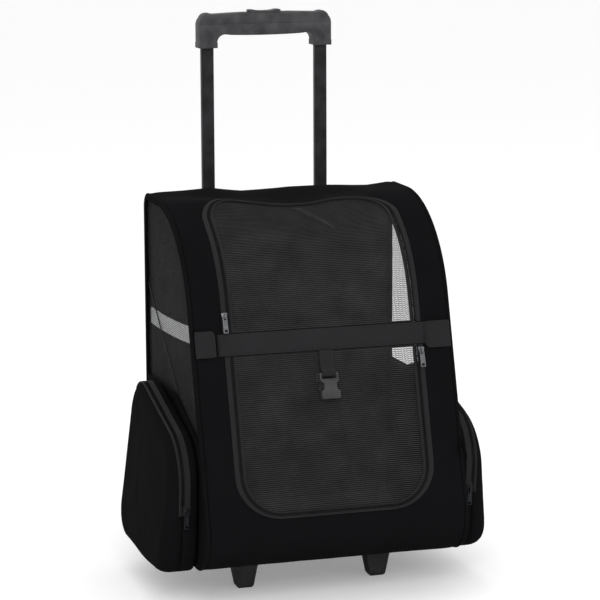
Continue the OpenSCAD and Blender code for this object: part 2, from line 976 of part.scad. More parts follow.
// Socket for a tube of w by d from z0 to z1, with a clearance all round
module tube_socket(w, d, slack, z0, z1) {
    translate([0, 0, z0])
        linear_extrude(z1 - z0)
            polygon(round_box(w + 2 * slack, d + 2 * slack, 3));
}

socket_l = 20;         // length of outer tube held by the upper bracket
roof_t = 7;            // roof of the upper bracket over the outer tubes
cup_h = 22;            // height of the lower bracket

// Closes the outer tubes and guides the inner ones through its roof
module upper_bracket() {
    low = tube_top_z - socket_l;
    high = tube_top_z + roof_t;
    color("#262626")
        bracket(low, high) {
            tube_socket(outer_w, outer_d, fit_gap, low - 1, tube_top_z);
            tube_socket(inner_w, inner_d, gap, tube_top_z - 1, high + 1);
        }
}

// Carries the feet of the outer tubes in two cups
module lower_bracket() {
    low = base_z + 4;
    high = low + cup_h;
    color("#262626")
        bracket(low, high)
            tube_socket(outer_w, outer_d, fit_gap, tube_low_z, high + 1);
}

// Cloth sleeve over the outer tubes, open at the top
module back_sleeve() {
    low = base_z + 1.5;
    high = tube_top_z + 5;
    inner_half = sleeve_half - sleeve_t;
    color("#161616")
        translate([0, 0, low])
            linear_extrude(high - low)
                difference() {
                    polygon(concat([[-sleeve_half, back_y], [sleeve_half, back_y]],
                        arc([sleeve_half - 10, back_y + sleeve_depth - 10], 10, 0, 90, 5),
                        arc([-sleeve_half + 10, back_y + sleeve_depth - 10], 10, 90, 180, 5)));
                    polygon(concat([[-inner_half, back_y - 1], [inner_half, back_y - 1]],
                        arc([inner_half - 8, back_y + sleeve_depth - sleeve_t - 8], 8, 0, 90, 5),
                        arc([-inner_half + 8, back_y + sleeve_depth - sleeve_t - 8], 8, 90, 180, 5)));
                }
}

// Front outline of the grip: an arch with crowned top and bellied bar, set in by t
module grip_outline(t) {
    half = grip_w / 2;
    in_half = half - leg_w;
    belly = 2;
    crown = 3;
    corner = 13;
    fillet = 11;
    corner_z = grip_top_z - crown - corner - t;
    crown_rad = (half * half + crown * crown) / (2 * crown);
    belly_rad = (in_half * in_half + belly * belly) / (2 * belly);
    crown_span = asin((half - t) / crown_rad) * 0.8;
    belly_span = asin((in_half - 8) / belly_rad) * 0.8;
    difference() {
        union() {
            polygon(concat([[half - t, leg_z + t]],
                arc([half - corner - t, corner_z], corner, 0, 60, 5),
                arc([0, grip_top_z - t - crown_rad], crown_rad, 90 - crown_span, 90 + crown_span, 12),
                arc([-half + corner + t, corner_z], corner, 120, 180, 5),
                [[t - half, leg_z + t]]));
            for (side = [-1, 1])
                translate([side * (half - knuckle_r - 3.5), grip_top_z - knuckle_r])
                    circle(r = knuckle_r - t);
        }
        polygon(concat([[-in_half - t, leg_z - 5], [in_half + t, leg_z - 5]],
            arc([in_half + t - fillet, bar_z + belly + t - fillet], fillet, 0, 90, 6),
            arc([0, bar_z + t + belly_rad], belly_rad, 270 + belly_span, 270 - belly_span, 10),
            arc([-in_half - t + fillet, bar_z + belly + t - fillet], fillet, 90, 180, 6)));
    }
}

// Side outline of the grip, set in by t
module grip_section(t) {
    polygon([for (p = round_box(grip_d - 2 * t, 2 * grip_h - 2 * t, 8 - t)) p + [tube_y, leg_z]]);
}

module grip_body(t) {
    intersection() {
        along_y(tube_y - grip_d / 2 + t, tube_y + grip_d / 2 - t)
            grip_outline(t);
        along_x(-grip_w / 2 + t, grip_w / 2 - t)
            grip_section(t);
    }
}

module slab(z0, z1) {
    translate([-grip_w, tube_y - grip_d, z0])
        cube([2 * grip_w, 2 * grip_d, z1 - z0]);
}

button_d = 15;

module button_well(slack) {
    translate([0, tube_y, grip_top_z - 10])
        linear_extrude(30)
            polygon(round_box(button_l + 2 * slack, button_d + 2 * slack, 4));
}

module grip_upper_shell() {
    color("#3c3c3c")
        difference() {
            intersection() {
                grip_body(0);
                slab(parting_z, grip_top_z + 5);
            }
            grip_body(grip_wall);
            button_well(gap);
        }
}

module grip_lower_shell() {
    collar_h = 7;
    collar_out = 0.8;
    color("#3c3c3c")
        difference() {
            union() {
                intersection() {
                    grip_body(0);
                    slab(leg_z, parting_z);
                }
                for (side = [-1, 1])
                    translate([side * (grip_w - leg_w) / 2, tube_y, leg_z])
                        linear_extrude(collar_h)
                            polygon(round_box(leg_w + 2 * collar_out, grip_d + 2 * collar_out, 2));
            }
            intersection() {
                grip_body(grip_wall);
                slab(cavity_z, parting_z + 1);
            }
            for (side = [-1, 1])
                translate([side * tube_x, tube_y, leg_z - 1])
                    linear_extrude(tube_seat + 1.5)
                        polygon(round_box(inner_w + 2 * fit_gap, inner_d + 2 * fit_gap, 3));
            grip_screw_shapes(screw_slack);
        }
}

grip_screw_d = 2.6;
grip_screw_head = 6.5;

// One screw at the front of the right leg and one at the back of the left leg
module grip_screw_shapes(slack) {
    for (side = [-1, 1])
        translate([side * tube_x, tube_y, leg_z + 11])
            rotate([side > 0 ? 90 : -90, 0, 0]) {
                translate([0, 0, inner_d / 2 - 2.5])
                    cylinder(d = grip_screw_d + 2 * slack, h = grip_d / 2 - inner_d / 2 + 1.3);
                translate([0, 0, grip_d / 2 - 1.6 - slack])
                    cylinder(d = grip_screw_head + 2 * slack, h = 1.2 + (slack > 0 ? 3 : 0));
            }
}

module grip_screws() {
    color("#7a7a7a")
        grip_screw_shapes(0);
}

button_flange = 2;

// Push button: a flange under the roof, raised ends and a ribbed hollow between them
module grip_button() {
    under_roof = grip_top_z - grip_wall - gap - 2;
    color("#303030") {
        translate([0, tube_y, under_roof - button_flange])
            linear_extrude(button_flange)
                polygon(round_box(button_l + 8, button_d + 1.2, 3));
        intersection() {
            along_y(tube_y - button_d, tube_y + button_d)
                button_outline();
            translate([0, tube_y, linkage_top_z])
                linear_extrude(grip_h)
                    polygon(round_box(button_l, button_d, 4));
        }
    }
}

// The button from the front
module button_outline() {
    end_l = 7;
    rib_pitch = 3.6;
    half = button_l / 2;
    top_z = grip_top_z + button_rise;
    hollow = button_rise - 0.8;
    hollow_half = half - end_l;
    hollow_r = (hollow_half * hollow_half + hollow * hollow) / (2 * hollow);
    span = asin(hollow_half / hollow_r);
    polygon(concat([[-half, linkage_top_z], [half, linkage_top_z]],
        arc([half - 2, top_z - 2], 2, 0, 90, 4),
        arc([0, top_z - hollow + hollow_r], hollow_r, 270 + span, 270 - span, 8),
        arc([-half + 2, top_z - 2], 2, 90, 180, 4)));
    for (i = [-2:2])
        translate([i * rib_pitch, grip_top_z + button_rise - hollow])
            circle(d = 1.4, $fn = 8);
}

linkage_t = 4;

// Return spring between the bar's floor and the linkage
module button_spring() {
    color("#9a9a9a")
        translate([0, tube_y, cavity_z + 0.2])
            difference() {
                cylinder(d = 8, h = linkage_top_z - linkage_t - cavity_z - 0.4);
                translate([0, 0, -1])
                    cylinder(d = 6, h = 30);
            }
}

wedge_l = 8;
wedge_d = 4;
wedge_low = 1;
rod_d = 4;

// Wedge at the foot of a rod, in the tube's XZ plane: slanted inboard face
module wedge_outline() {
    polygon([[0, wedge_low], [0, wedge_low + wedge_l + 2],
        [-wedge_l * pin_ratio, wedge_low + wedge_l + 2], [-wedge_l * pin_ratio, wedge_low + wedge_l]]);
}

// Cross bar under the button, with a rod and wedge down each tube
module release_linkage() {
    rod_x = tube_x - wedge_l * pin_ratio / 2;
    wedge_top = pin_z + wedge_low + wedge_l + 2;
    color("#8a8a8a") {
        translate([-tube_x - 6, tube_y - 4, linkage_top_z - linkage_t])
            cube([2 * tube_x + 12, 8, linkage_t]);
        for (side = [-1, 1])
            to_side(side) {
                translate([rod_x, tube_y, wedge_top])
                    cylinder(d = rod_d, h = linkage_top_z - linkage_t - wedge_top);
                translate([tube_x, tube_y + wedge_d / 2, pin_z])
                    rotate([90, 0, 0])
                        linear_extrude(wedge_d)
                            wedge_outline();
            }
    }
}

// Sliding lock pin; its slanted window follows the wedge of the rod
module lock_pin(side) {
    block_h = 10;
    block_d = inner_d - 2 * tube_wall - 5 * gap;
    block_in = -4.8;
    block_out = 3.6;
    tip = inner_w / 2 + 0.2;
    travel = button_travel * pin_ratio;
    wall_x = travel + gap;
    slack = gap / cos(atan(pin_ratio));
    half = block_h / 2;
    top = half + 1;
    color("#6e6e6e")
        to_side(side)
            translate([tube_x, tube_y, pin_z]) {
                difference() {
                    translate([block_in, -block_d / 2, -half])
                        cube([block_out - block_in, block_d, block_h]);
                    translate([0, wedge_d / 2 + gap, 0])
                        rotate([90, 0, 0])
                            linear_extrude(wedge_d + 2 * gap)
                                polygon([[-(top - wedge_low) * pin_ratio - slack, top], [wall_x, top],
                                    [wall_x, wedge_low - (wall_x + slack) / pin_ratio]]);
                }
                translate([block_out, 0, 0])
                    rotate([0, 90, 0])
                        cylinder(d = pin_d, h = tip - block_out);
            }
}

// ---- running gear ---------------------------------------------------------------

hub_r = wheel_r - 6;
cheek_t = 3.5;
cheek_gap = 1;
housing_half = wheel_w / 2 + cheek_gap + cheek_t;
roof_low = base_z - 2.5;
housing_flange_y = axle_y - wheel_r - 22;
housing_screw_y = housing_flange_y + 8;
rear_flange_top = base_z + 34;
rear_screw_z = base_z + 25;

// Side outline of the wheel housing: roof, cheek lobe and rear flange
module housing_cheek() {
    hull() {
        translate([axle_y, axle_z])
            circle(d = axle_d + 12);
        translate([axle_y - 17, base_z - 3])
            square([34, 3]);
    }
}

fender_r = roof_low - axle_z;          // inside of the fender round the wheel
fender_t = 2.2;

// Fender strip round the front and the top of a wheel, down to the rear edge
module fender() {
    reach = fender_r + fender_t + 1;
    difference() {
        translate([axle_y, axle_z])
            circle(r = fender_r + fender_t);
        translate([axle_y, axle_z])
            circle(r = fender_r);
        translate([axle_y - reach, axle_z - reach])
            square([2 * reach, reach + 4]);
    }
}

module wheel_housing(side) {
    plate_t = 3.2;
    gusset_t = 3;
    color("#222222")
        to_side(side)
            difference() {
                union() {
                    for (end = [0, 1])
                        along_x(wheel_x - housing_half + end * (2 * housing_half - cheek_t),
                            wheel_x - housing_half + end * (2 * housing_half - cheek_t) + cheek_t)
                            housing_cheek();
                    along_x(wheel_x - housing_half, wheel_x + housing_half)
                        fender();
                    translate([wheel_x - housing_half, housing_flange_y, roof_low])
                        cube([2 * housing_half, axle_y - housing_flange_y, base_z - roof_low]);
                    translate([wheel_x - housing_half, back_y, roof_low])
                        cube([2 * housing_half, plate_t, rear_flange_top - roof_low]);
                    for (end = [-1, 1])
                        translate([wheel_x + end * (housing_half - gusset_t / 2), back_y, base_z - 1])
                            along_x(-gusset_t / 2, gusset_t / 2)
                                polygon([[0, 0], [22, 0], [plate_t, 20], [0, 20]]);
                }
                wheel_pin(0.05);
                base_shanks(screw_slack);
                back_screws(screw_slack);
            }
}

module wheel_pin(slack) {
    translate([wheel_x - housing_half - 1, axle_y, axle_z])
        rotate([0, 90, 0])
            cylinder(d = axle_d + 2 * slack, h = 2 * housing_half + 2);
}

// Steel axle through both cheeks, with a flat head on each end
module axles() {
    color("#a0a0a0")
        for (side = [-1, 1])
            to_side(side)
                translate([wheel_x, axle_y, axle_z])
                    rotate([0, 90, 0]) {
                        translate([0, 0, -housing_half - 1])
                            cylinder(d = axle_d, h = 2 * housing_half + 2);
                        for (end = [-1, 1])
                            translate([0, 0, end * (housing_half + 0.9) - 0.8])
                                cylinder(d = axle_d + 4, h = 1.6);
                    }
}

// Moulded hub with a web, six ribs and a through bore
module wheel_hub(side) {
    hub_rim = 3;
    boss_r = axle_d / 2 + 3;
    web_t = 4;
    color("#3a3a3a")
        to_side(side)
            translate([wheel_x, axle_y, axle_z])
                rotate([0, 90, 0])
                    translate([0, 0, -wheel_w / 2])
                        difference() {
                            union() {
                                difference() {
                                    cylinder(r = hub_r, h = wheel_w);
                                    translate([0, 0, -1])
                                        cylinder(r = hub_r - hub_rim, h = wheel_w + 2);
                                }
                                translate([0, 0, (wheel_w - web_t) / 2])
                                    cylinder(r = hub_r - 1, h = web_t);
                                cylinder(r = boss_r, h = wheel_w);
                                for (i = [0:5])
                                    rotate([0, 0, i * 60])
                                        translate([0, -1, 2])
                                            cube([hub_r - 1, 2, wheel_w - 4]);
                            }
                            translate([0, 0, -1])
                                cylinder(d = axle_d + 0.1, h = wheel_w + 2);
                        }
}

// Rubber tyre with rounded shoulders
module tyre(side) {
    shoulder = 4;
    half = wheel_w / 2;
    color("#1b1b1b")
        to_side(side)
            translate([wheel_x, axle_y, axle_z])
                rotate([0, 90, 0])
                    rotate_extrude($fn = 96)
                        polygon(concat([[hub_r, -half]],
                            arc([wheel_r - shoulder, -half + shoulder], shoulder, 270, 360, 5),
                            arc([wheel_r - shoulder, half - shoulder], shoulder, 0, 90, 5),
                            [[hub_r, half]]));
}

// Tapered front foot with a screwed flange
module front_foot(side) {
    flange_z = base_z - foot_flange_t;
    neck_r = 3;
    toe_h = 8;
    mid = foot_floor_w / 2 + 2.8;
    panel_in = 3;
    panel_t = 0.8;
    panel_low = mid - panel_in;
    panel_high = foot_w / 2 - panel_in;
    panel_top = flange_z - 7;
    half_front = concat([[foot_floor_w / 2, 0], [foot_floor_w / 2 + 1.6, 2], [mid, toe_h]],
        arc([foot_w / 2 + neck_r, flange_z - neck_r], neck_r, 180, 90, 4));
    color("#262626")
        to_side(side)
            translate([foot_x, foot_y, 0])
                difference() {
                    union() {
                        translate([0, 0, flange_z])
                            linear_extrude(foot_flange_t)
                                polygon(round_box(foot_w + 6, foot_flange_l, 6));
                        intersection() {
                            along_y(-foot_d, foot_d)
                                polygon(concat(half_front, [for (p = flip(half_front)) [-p[0], p[1]]]));
                            along_x(-foot_w, foot_w)
                                polygon([[-foot_d / 2, flange_z], [-foot_d / 2 + 2.5, 4],
                                    [-foot_d / 2 + 6, 0], [foot_d / 2 - 6, 0],
                                    [foot_d / 2 - 2.5, 4], [foot_d / 2, flange_z]]);
                        }
                    }
                    intersection() {
                        along_y(-foot_d, 0)
                            polygon([[-panel_low, toe_h], [panel_low, toe_h],
                                [panel_high, panel_top], [-panel_high, panel_top]]);
                        along_x(-foot_w, foot_w)
                            polygon([[-foot_d, 0], [-foot_d / 2 + 2.5 + panel_t, 4],
                                [-foot_d / 2 + panel_t, flange_z], [-foot_d, flange_z]]);
                    }
                    translate([-foot_x, -foot_y, 0])
                        base_shanks(screw_slack);
                }
}

// Vertical screws: two through each foot flange and one through each housing
module base_shanks(slack) {
    reach = board_low + board_t - 0.5;
    for (side = [-1, 1]) {
        for (end = [-1, 1])
            screw_up(side * foot_x, foot_y + end * foot_screw_y, base_z - foot_flange_t, reach, slack);
        screw_up(side * wheel_x, housing_screw_y, roof_low, reach, slack);
    }
}

module screw_up(x, y, seat_z, reach, slack) {
    translate([x, y, seat_z - 1])
        cylinder(d = screw_d + 2 * slack, h = reach - seat_z + 1);
    translate([x, y, seat_z - screw_head_t - (slack > 0 ? 2 : 0)])
        cylinder(d = screw_head_d + 2 * slack, h = screw_head_t + (slack > 0 ? 2 : 0));
}

// Screws through the back panel into the back board, with the holes for them
module back_screws(slack) {
    for (side = [-1, 1]) {
        screw_in(side * wheel_x, rear_screw_z, back_y + 3.2, slack);
        for (z = [tube_top_z - 10, base_z + 15])
            screw_in(side * (tube_x - 40), z, back_y + 11, slack);
    }
}

module screw_in(x, z, seat_y, slack) {
    reach = seat_y - back_board_y - 0.5;
    translate([x, seat_y, z])
        rotate([90, 0, 0]) {
            translate([0, 0, -1])
                cylinder(d = screw_d + 2 * slack, h = reach + 1);
            translate([0, 0, -screw_head_t - (slack > 0 ? 2 : 0)])
                cylinder(d = screw_head_d + 2 * slack, h = screw_head_t + (slack > 0 ? 2 : 0));
        }
}

module base_screws() {
    color("#8a8a8a") {
        base_shanks(0);
        back_screws(0);
    }
}

front_panel();
back_panel();
base_panel();
base_board();
back_board();
pet_mat();
side_panel(-1);  // side_panel_left
side_panel(1);  // side_panel_right
side_mesh(-1);  // side_mesh_left
side_mesh(1);  // side_mesh_right
side_bindings();
side_pocket(-1);  // side_pocket_left
side_pocket(1);  // side_pocket_right
pocket_cover(-1);  // pocket_cover_left
pocket_cover(1);  // pocket_cover_right
pocket_slider(-1);  // pocket_slider_left
pocket_slider(1);  // pocket_slider_right
pocket_pull(-1);  // pocket_pull_left
pocket_pull(1);  // pocket_pull_right
upper_zip_tape();
lower_zip_tape();
upper_door_rim();
upper_door_mesh();
lower_door_rim();
lower_door_mesh();
upper_zip_slider();
upper_zip_pull();
lower_zip_slider();
lower_zip_pull();
front_strap();
buckle_tab();
buckle_socket();
inner_tab();
buckle_plug();
tether_strap();
back_sleeve();
outer_tube(-1);  // outer_tube_left
outer_tube(1);  // outer_tube_right
upper_bracket();
lower_bracket();
inner_tube(-1);  // inner_tube_left
inner_tube(1);  // inner_tube_right
grip_upper_shell();
grip_lower_shell();
grip_screws();
grip_button();
button_spring();
release_linkage();
lock_pin(-1);  // lock_pin_left
lock_pin(1);  // lock_pin_right
wheel_housing(-1);  // wheel_housing_left
wheel_housing(1);  // wheel_housing_right
wheel_hub(-1);  // wheel_hub_left
wheel_hub(1);  // wheel_hub_right
tyre(-1);  // tyre_left
tyre(1);  // tyre_right
axles();
front_foot(-1);  // front_foot_left
front_foot(1);  // front_foot_right
base_screws();
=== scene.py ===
# %% [markdown]
# # A soft pet carrier on two wheels
# The carrier is a sewn bag on a stiff base, with two mesh doors, two side pockets and a
# telescopic handle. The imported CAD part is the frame: its hard parts keep their exact shapes,
# and every piece of cloth is cut flat here, as on a sewing table, and then laid on the bag.
# The CAD solids are in metres and the lengths below are in millimetres, so a place is
# multiplied by `MM` when it goes to Blender.

# %% Load the frame
import json
import math

import bmesh
import bpy
import numpy as np
from mathutils import Matrix, Vector, noise

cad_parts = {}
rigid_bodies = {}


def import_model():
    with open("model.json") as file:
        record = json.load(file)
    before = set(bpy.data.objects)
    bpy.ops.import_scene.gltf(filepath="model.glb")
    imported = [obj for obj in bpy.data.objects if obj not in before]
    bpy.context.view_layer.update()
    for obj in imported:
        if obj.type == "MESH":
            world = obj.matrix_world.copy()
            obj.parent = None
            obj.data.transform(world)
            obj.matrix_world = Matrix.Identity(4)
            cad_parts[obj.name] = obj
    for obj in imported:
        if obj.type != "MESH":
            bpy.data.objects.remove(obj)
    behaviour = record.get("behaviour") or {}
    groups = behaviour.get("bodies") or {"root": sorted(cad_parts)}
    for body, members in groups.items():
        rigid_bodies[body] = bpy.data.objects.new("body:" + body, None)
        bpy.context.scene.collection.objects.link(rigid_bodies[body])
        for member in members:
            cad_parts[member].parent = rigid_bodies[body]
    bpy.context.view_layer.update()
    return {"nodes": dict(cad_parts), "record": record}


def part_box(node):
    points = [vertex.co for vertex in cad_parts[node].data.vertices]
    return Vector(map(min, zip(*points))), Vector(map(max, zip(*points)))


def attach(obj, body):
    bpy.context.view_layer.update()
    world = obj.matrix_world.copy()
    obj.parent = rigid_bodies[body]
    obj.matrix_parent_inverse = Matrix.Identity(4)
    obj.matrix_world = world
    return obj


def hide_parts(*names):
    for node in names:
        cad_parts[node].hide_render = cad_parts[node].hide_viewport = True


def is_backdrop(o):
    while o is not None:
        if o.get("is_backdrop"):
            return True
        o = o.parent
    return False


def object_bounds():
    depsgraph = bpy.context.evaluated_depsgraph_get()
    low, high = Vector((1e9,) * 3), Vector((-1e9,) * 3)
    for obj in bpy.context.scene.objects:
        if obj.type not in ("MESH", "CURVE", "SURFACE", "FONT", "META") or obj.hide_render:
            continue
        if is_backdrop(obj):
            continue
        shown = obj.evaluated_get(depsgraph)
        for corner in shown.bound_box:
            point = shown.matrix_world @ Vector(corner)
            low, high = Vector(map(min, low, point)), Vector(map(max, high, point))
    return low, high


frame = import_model()
MM = 0.001

# %% [markdown]
# ## Camera, floor and light
# The carrier stands on pale paper in a studio. A camera could look at it from anywhere, but a
# long lens from a little above keeps its upright lines upright. The floor and the world could
# be lit until they turn white, which would wash out the black cloth too. So they are white only
# where the camera sees them, and the lamps are large, soft and weak enough that a colour
# renders about as it is written.

# %% Camera
LENS_MM, SENSOR_MM, CLIP_M = 156.4, 36.0, 60.0
CAMERA_PLACE, CAMERA_TURN = (-1.013, -3.240, 1.004), (79.46, 0.23, -17.43)
camera_data = bpy.data.cameras.new("camera")
camera_data.lens = LENS_MM
camera_data.sensor_width = SENSOR_MM
camera_data.clip_end = CLIP_M
camera = bpy.data.objects.new("camera", camera_data)
camera.location = CAMERA_PLACE
camera.rotation_euler = [math.radians(a) for a in CAMERA_TURN]
bpy.context.scene.collection.objects.link(camera)
bpy.context.scene.camera = camera
bpy.context.scene.view_settings.view_transform = "Standard"
print("camera at", tuple(round(c, 3) for c in camera.location))


# %% Helpers for colours and nodes
def hex_colour(code):
    """Linear RGBA from an sRGB hex code such as #1a2b3c."""
    values = [int(code[i:i + 2], 16) / 255 for i in (1, 3, 5)]
    return [v / 12.92 if v <= 0.04045 else ((v + 0.055) / 1.055) ** 2.4 for v in values] + [1.0]


def add_node(tree, kind, inputs=None, **settings):
    """Adds a node. inputs gives a socket's value, or the output that feeds it."""
    node = tree.nodes.new(kind)
    for key, value in settings.items():
        setattr(node, key, value)
    for socket, value in (inputs or {}).items():
        if isinstance(value, bpy.types.NodeSocket):
            tree.links.new(value, node.inputs[socket])
        else:
            node.inputs[socket].default_value = value
    return node


def new_material(name):
    """An empty material and its node tree."""
    material = bpy.data.materials.new(name)
    material.use_nodes = True
    material.node_tree.nodes.clear()
    return material, material.node_tree


print("colour test:", [round(c, 4) for c in hex_colour("#808080")])

# %% World: plain white to the camera, softer as a light
WORLD_LIGHT = 0.78
world = bpy.data.worlds.new("studio")
bpy.context.scene.world = world
world.use_nodes = True
sky = world.node_tree
sky.nodes.clear()
seen = add_node(sky, "ShaderNodeLightPath")
clear_ray = add_node(sky, "ShaderNodeMath", {0: seen.outputs["Is Camera Ray"],
    1: seen.outputs["Is Glossy Ray"]}, operation="MAXIMUM")
lit = add_node(sky, "ShaderNodeBackground", {"Color": (1, 1, 1, 1), "Strength": WORLD_LIGHT})
plain = add_node(sky, "ShaderNodeBackground", {"Color": (1, 1, 1, 1), "Strength": 1.0})
mixed = add_node(sky, "ShaderNodeMixShader", {0: clear_ray.outputs[0], 1: lit.outputs[0],
    2: plain.outputs[0]})
add_node(sky, "ShaderNodeOutputWorld", {"Surface": mixed.outputs[0]})
print("world light:", WORLD_LIGHT)


# %% Lamps: a key from the upper left, a fill from the right and a top light
def add_lamp(name, place, aim, width, power):
    """A square area lamp that looks at a point."""
    data = bpy.data.lights.new(name, "AREA")
    data.shape, data.size, data.energy = "SQUARE", width, power
    lamp = bpy.data.objects.new(name, data)
    lamp.location = place
    lamp.rotation_euler = (Vector(aim) - Vector(place)).to_track_quat("-Z", "Y").to_euler()
    bpy.context.scene.collection.objects.link(lamp)


# each lamp's place, the point it looks at, its width in metres and its power in watts
LAMPS = {"key": ((-0.95, -3.1, 2.3), (0, 0, 0.35), 1.6, 41),
    "fill": ((2.6, -2.4, 1.4), (0, 0, 0.3), 1.8, 16),
    "top": ((0.0, 0.6, 3.0), (0, 0, 0.3), 1.6, 10)}
for name, lamp_facts in LAMPS.items():
    add_lamp(name, *lamp_facts)

# %% Floor: studio paper that glows a little for the camera, so that it reads as white
FLOOR_SIZE, FLOOR_GLOW = 60.0, 0.24
floor_mesh = bmesh.new()
bmesh.ops.create_grid(floor_mesh, x_segments=1, y_segments=1, size=FLOOR_SIZE / 2)
floor_data = bpy.data.meshes.new("floor")
floor_mesh.to_mesh(floor_data)
floor = bpy.data.objects.new("floor", floor_data)
bpy.context.scene.collection.objects.link(floor)
floor_paint, floor_tree = new_material("studio_paper")
floor_seen = add_node(floor_tree, "ShaderNodeLightPath")
floor_glow = add_node(floor_tree, "ShaderNodeMath", {0: floor_seen.outputs["Is Camera Ray"],
    1: FLOOR_GLOW}, operation="MULTIPLY")
paper = add_node(floor_tree, "ShaderNodeBsdfPrincipled", {"Base Color": hex_colour("#f6f6f6"),
    "Roughness": 0.9, "Specular IOR Level": 0.1, "Emission Color": (1, 1, 1, 1),
    "Emission Strength": floor_glow.outputs[0]})
add_node(floor_tree, "ShaderNodeOutputMaterial", {"Surface": paper.outputs[0]})
floor_data.materials.append(floor_paint)
floor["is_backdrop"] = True
print("floor is", FLOOR_SIZE, "m wide and glows", FLOOR_GLOW)

# %% [markdown]
# ## The bag's side profile
# Front, crown, top and back are one strip of cloth. Its side profile is three arcs and the
# straight lines between them. The strip could be extruded from that profile, but the doors,
# zips and straps on it would each need their own way round the arcs. Here a place on the strip
# is its distance from the middle, x, and its distance s along the profile from the underside
# of the toe. Every piece of the front is cut flat in x and s, and `on_bag` lays it on the
# profile.

# %% Profile
# each arc is (y, z, radius)
TOE, CROWN, BACK = (-116.0, 108.0, 56.0), (66.0, 342.0, 165.0), (115.0, 487.0, 20.0)
LEAN = 16.3018          # degrees by which the front leans back
FRONT_A = 180 - LEAN
BAG_X, SIDE_X, BACK_Y, BASE_Z = 171.7, 175.0, 135.0, 52.0


def arc_points(circle, a0, a1, step=1.0):
    """Points and outward normals of an arc of (y, z, radius), about step mm apart."""
    y, z, r = circle
    turns = np.radians(np.linspace(a0, a1, max(2, int(abs(math.radians(a1 - a0)) * r / step))))
    normal = np.stack([np.cos(turns), np.sin(turns)], 1)
    return np.hstack([np.array([y, z]) + r * normal, normal])


profile = np.vstack([arc_points(TOE, 270, FRONT_A), arc_points(CROWN, FRONT_A, 90),
    arc_points(BACK, 90, 0), [[BACK_Y, BASE_Z, 1, 0]]])
run = np.concatenate([[0], np.cumsum(np.hypot(*np.diff(profile[:, :2], axis=0).T))])


def profile_at(s):
    """(y, z, normal y, normal z) at distance s along the profile."""
    return [np.interp(s, run, profile[:, i]) for i in range(4)]


def s_where(level, values, low, high):
    """The s between low and high at which a rising measure of the profile reaches level."""
    keep = (run >= low) & (run <= high)
    return float(np.interp(level, values[keep], run[keep]))


S_TOE_END = float(run[len(arc_points(TOE, 270, FRONT_A)) - 1])
S_FRONT_TOP = float(run[len(arc_points(TOE, 270, FRONT_A))])
S_TOP = S_FRONT_TOP + math.radians(FRONT_A - 90) * CROWN[2]
S_BACK = float(run[-2])
S_STRAP = s_where(340.0, profile[:, 1], S_TOE_END, S_FRONT_TOP)
print("s of strap, crown, top, back:", [round(v, 1) for v in (S_STRAP, S_FRONT_TOP, S_TOP, S_BACK)])

# %% [markdown]
# ## Slack
# A soft bag isn't its pattern: the cloth sags behind the crown, where only the side seams hold
# it up, and swells a little where its slack gathers. A cloth simulation of the whole bag could
# find such shapes, but zips, mesh and straps would have to follow it. A sum of smooth bumps
# does the same for every piece at once, because each piece asks `on_bag` for its place.


# %% Slack in the cloth
def smooth(low, high, value):
    """0 below low, 1 above high and an even ramp between them."""
    t = min(1.0, max(0.0, (value - low) / (high - low)))
    return t * t * (3 - 2 * t)


S_DOOR_TOP = s_where(370.0, (profile[:, 0] + profile[:, 1]) / math.sqrt(2), S_TOE_END, S_BACK - 10)
# (x, height, half width) in mm of the swellings where the slack gathers by the upper door's top
SWELLS = [(-100.0, 9.0, 60.0), (62.0, 4.5, 32.0)]
# (x, height) of the wave along the top of the back
TOP_WAVE = ([-175, -150, -85, -44, 0, 80, 135, 165, 175], [0, 1.0, 4.0, -1.5, -0.5, 1.0, -2.0, 1.0, 0])
SAG, SAG_HALF = 7.0, 150.0      # depth behind the crown, and half the width that sags
SLOW_WAVE, FINE_WAVE = 1.1, 0.5


def slack(x, s):
    """Millimetres by which the cloth stands off its pattern: a sag behind the crown between
    the side seams, a wave along the top of the back, and slow waves elsewhere."""
    across = max(0.0, 1 - (x / SAG_HALF) ** 2) ** 1.5
    sag = -SAG * across * smooth(S_FRONT_TOP + 70, S_TOP - 60, s) * (1 - smooth(S_TOP - 10, S_TOP + 45, s))
    behind = smooth(S_TOP + 5, S_TOP + 45, s) * (1 - smooth(S_BACK - 5, S_BACK + 30, s))
    wave = float(np.interp(x, *TOP_WAVE)) * behind
    # the cloth is taut by the straight zips that the sliders run on, and at the side seams
    taut, loose = (80, 150) if s > S_STRAP else (168, 215)
    calm = smooth(taut, loose, abs(s - S_STRAP)) * smooth(0, 12, BAG_X - abs(x))
    slow = SLOW_WAVE * noise.noise(Vector((x / 75, s / 60, 2.7)))
    slow += FINE_WAVE * noise.noise(Vector((x / 28, s / 35, 8.1)))
    near_top = math.exp(-((s - S_DOOR_TOP) / 26) ** 2) * smooth(0, 45, BAG_X - abs(x))
    swell = sum(h * math.exp(-((x - x0) / w) ** 2) for x0, h, w in SWELLS) * near_top
    return sag + wave + swell + slow * calm


def on_bag(x, s, out=0.0):
    """The place in metres of (x, s) on the bag, out mm above the cloth's surface."""
    y, z, ny, nz = profile_at(s)
    rise = out + slack(x, s)
    return Vector((x, y + rise * ny, z + rise * nz)) * MM


print("crown's middle sags by", round(slack(0, S_TOP - 20), 1), "mm")

# %% [markdown]
# ## Finishes
# Each finish starts from the real material. Cloth patterns read the piece's own UV map, which
# holds its flat cut in metres, so threads follow the cloth round every curve. Moulded and
# metal finishes read Object coordinates.
#
# ### Woven cloth
# The bag is matt black polyester in plain weave: each thread passes over one and under the
# next. A weave could be a picture that repeats, or real threads in the mesh. Two wave textures
# that a checker swaps between are as crisp as either at any size, and their bump catches the
# lamps where a thread comes up. Their height also tints the colour: the gaps between threads
# are painted darker as shade, and the crowns are painted lighter as highlight.

# %% Woven cloths
WAVE_UNIT = math.pi / 10        # scale at which a wave texture repeats once in each unit
FADE = 60                       # mm across the patches in which black cloth fades


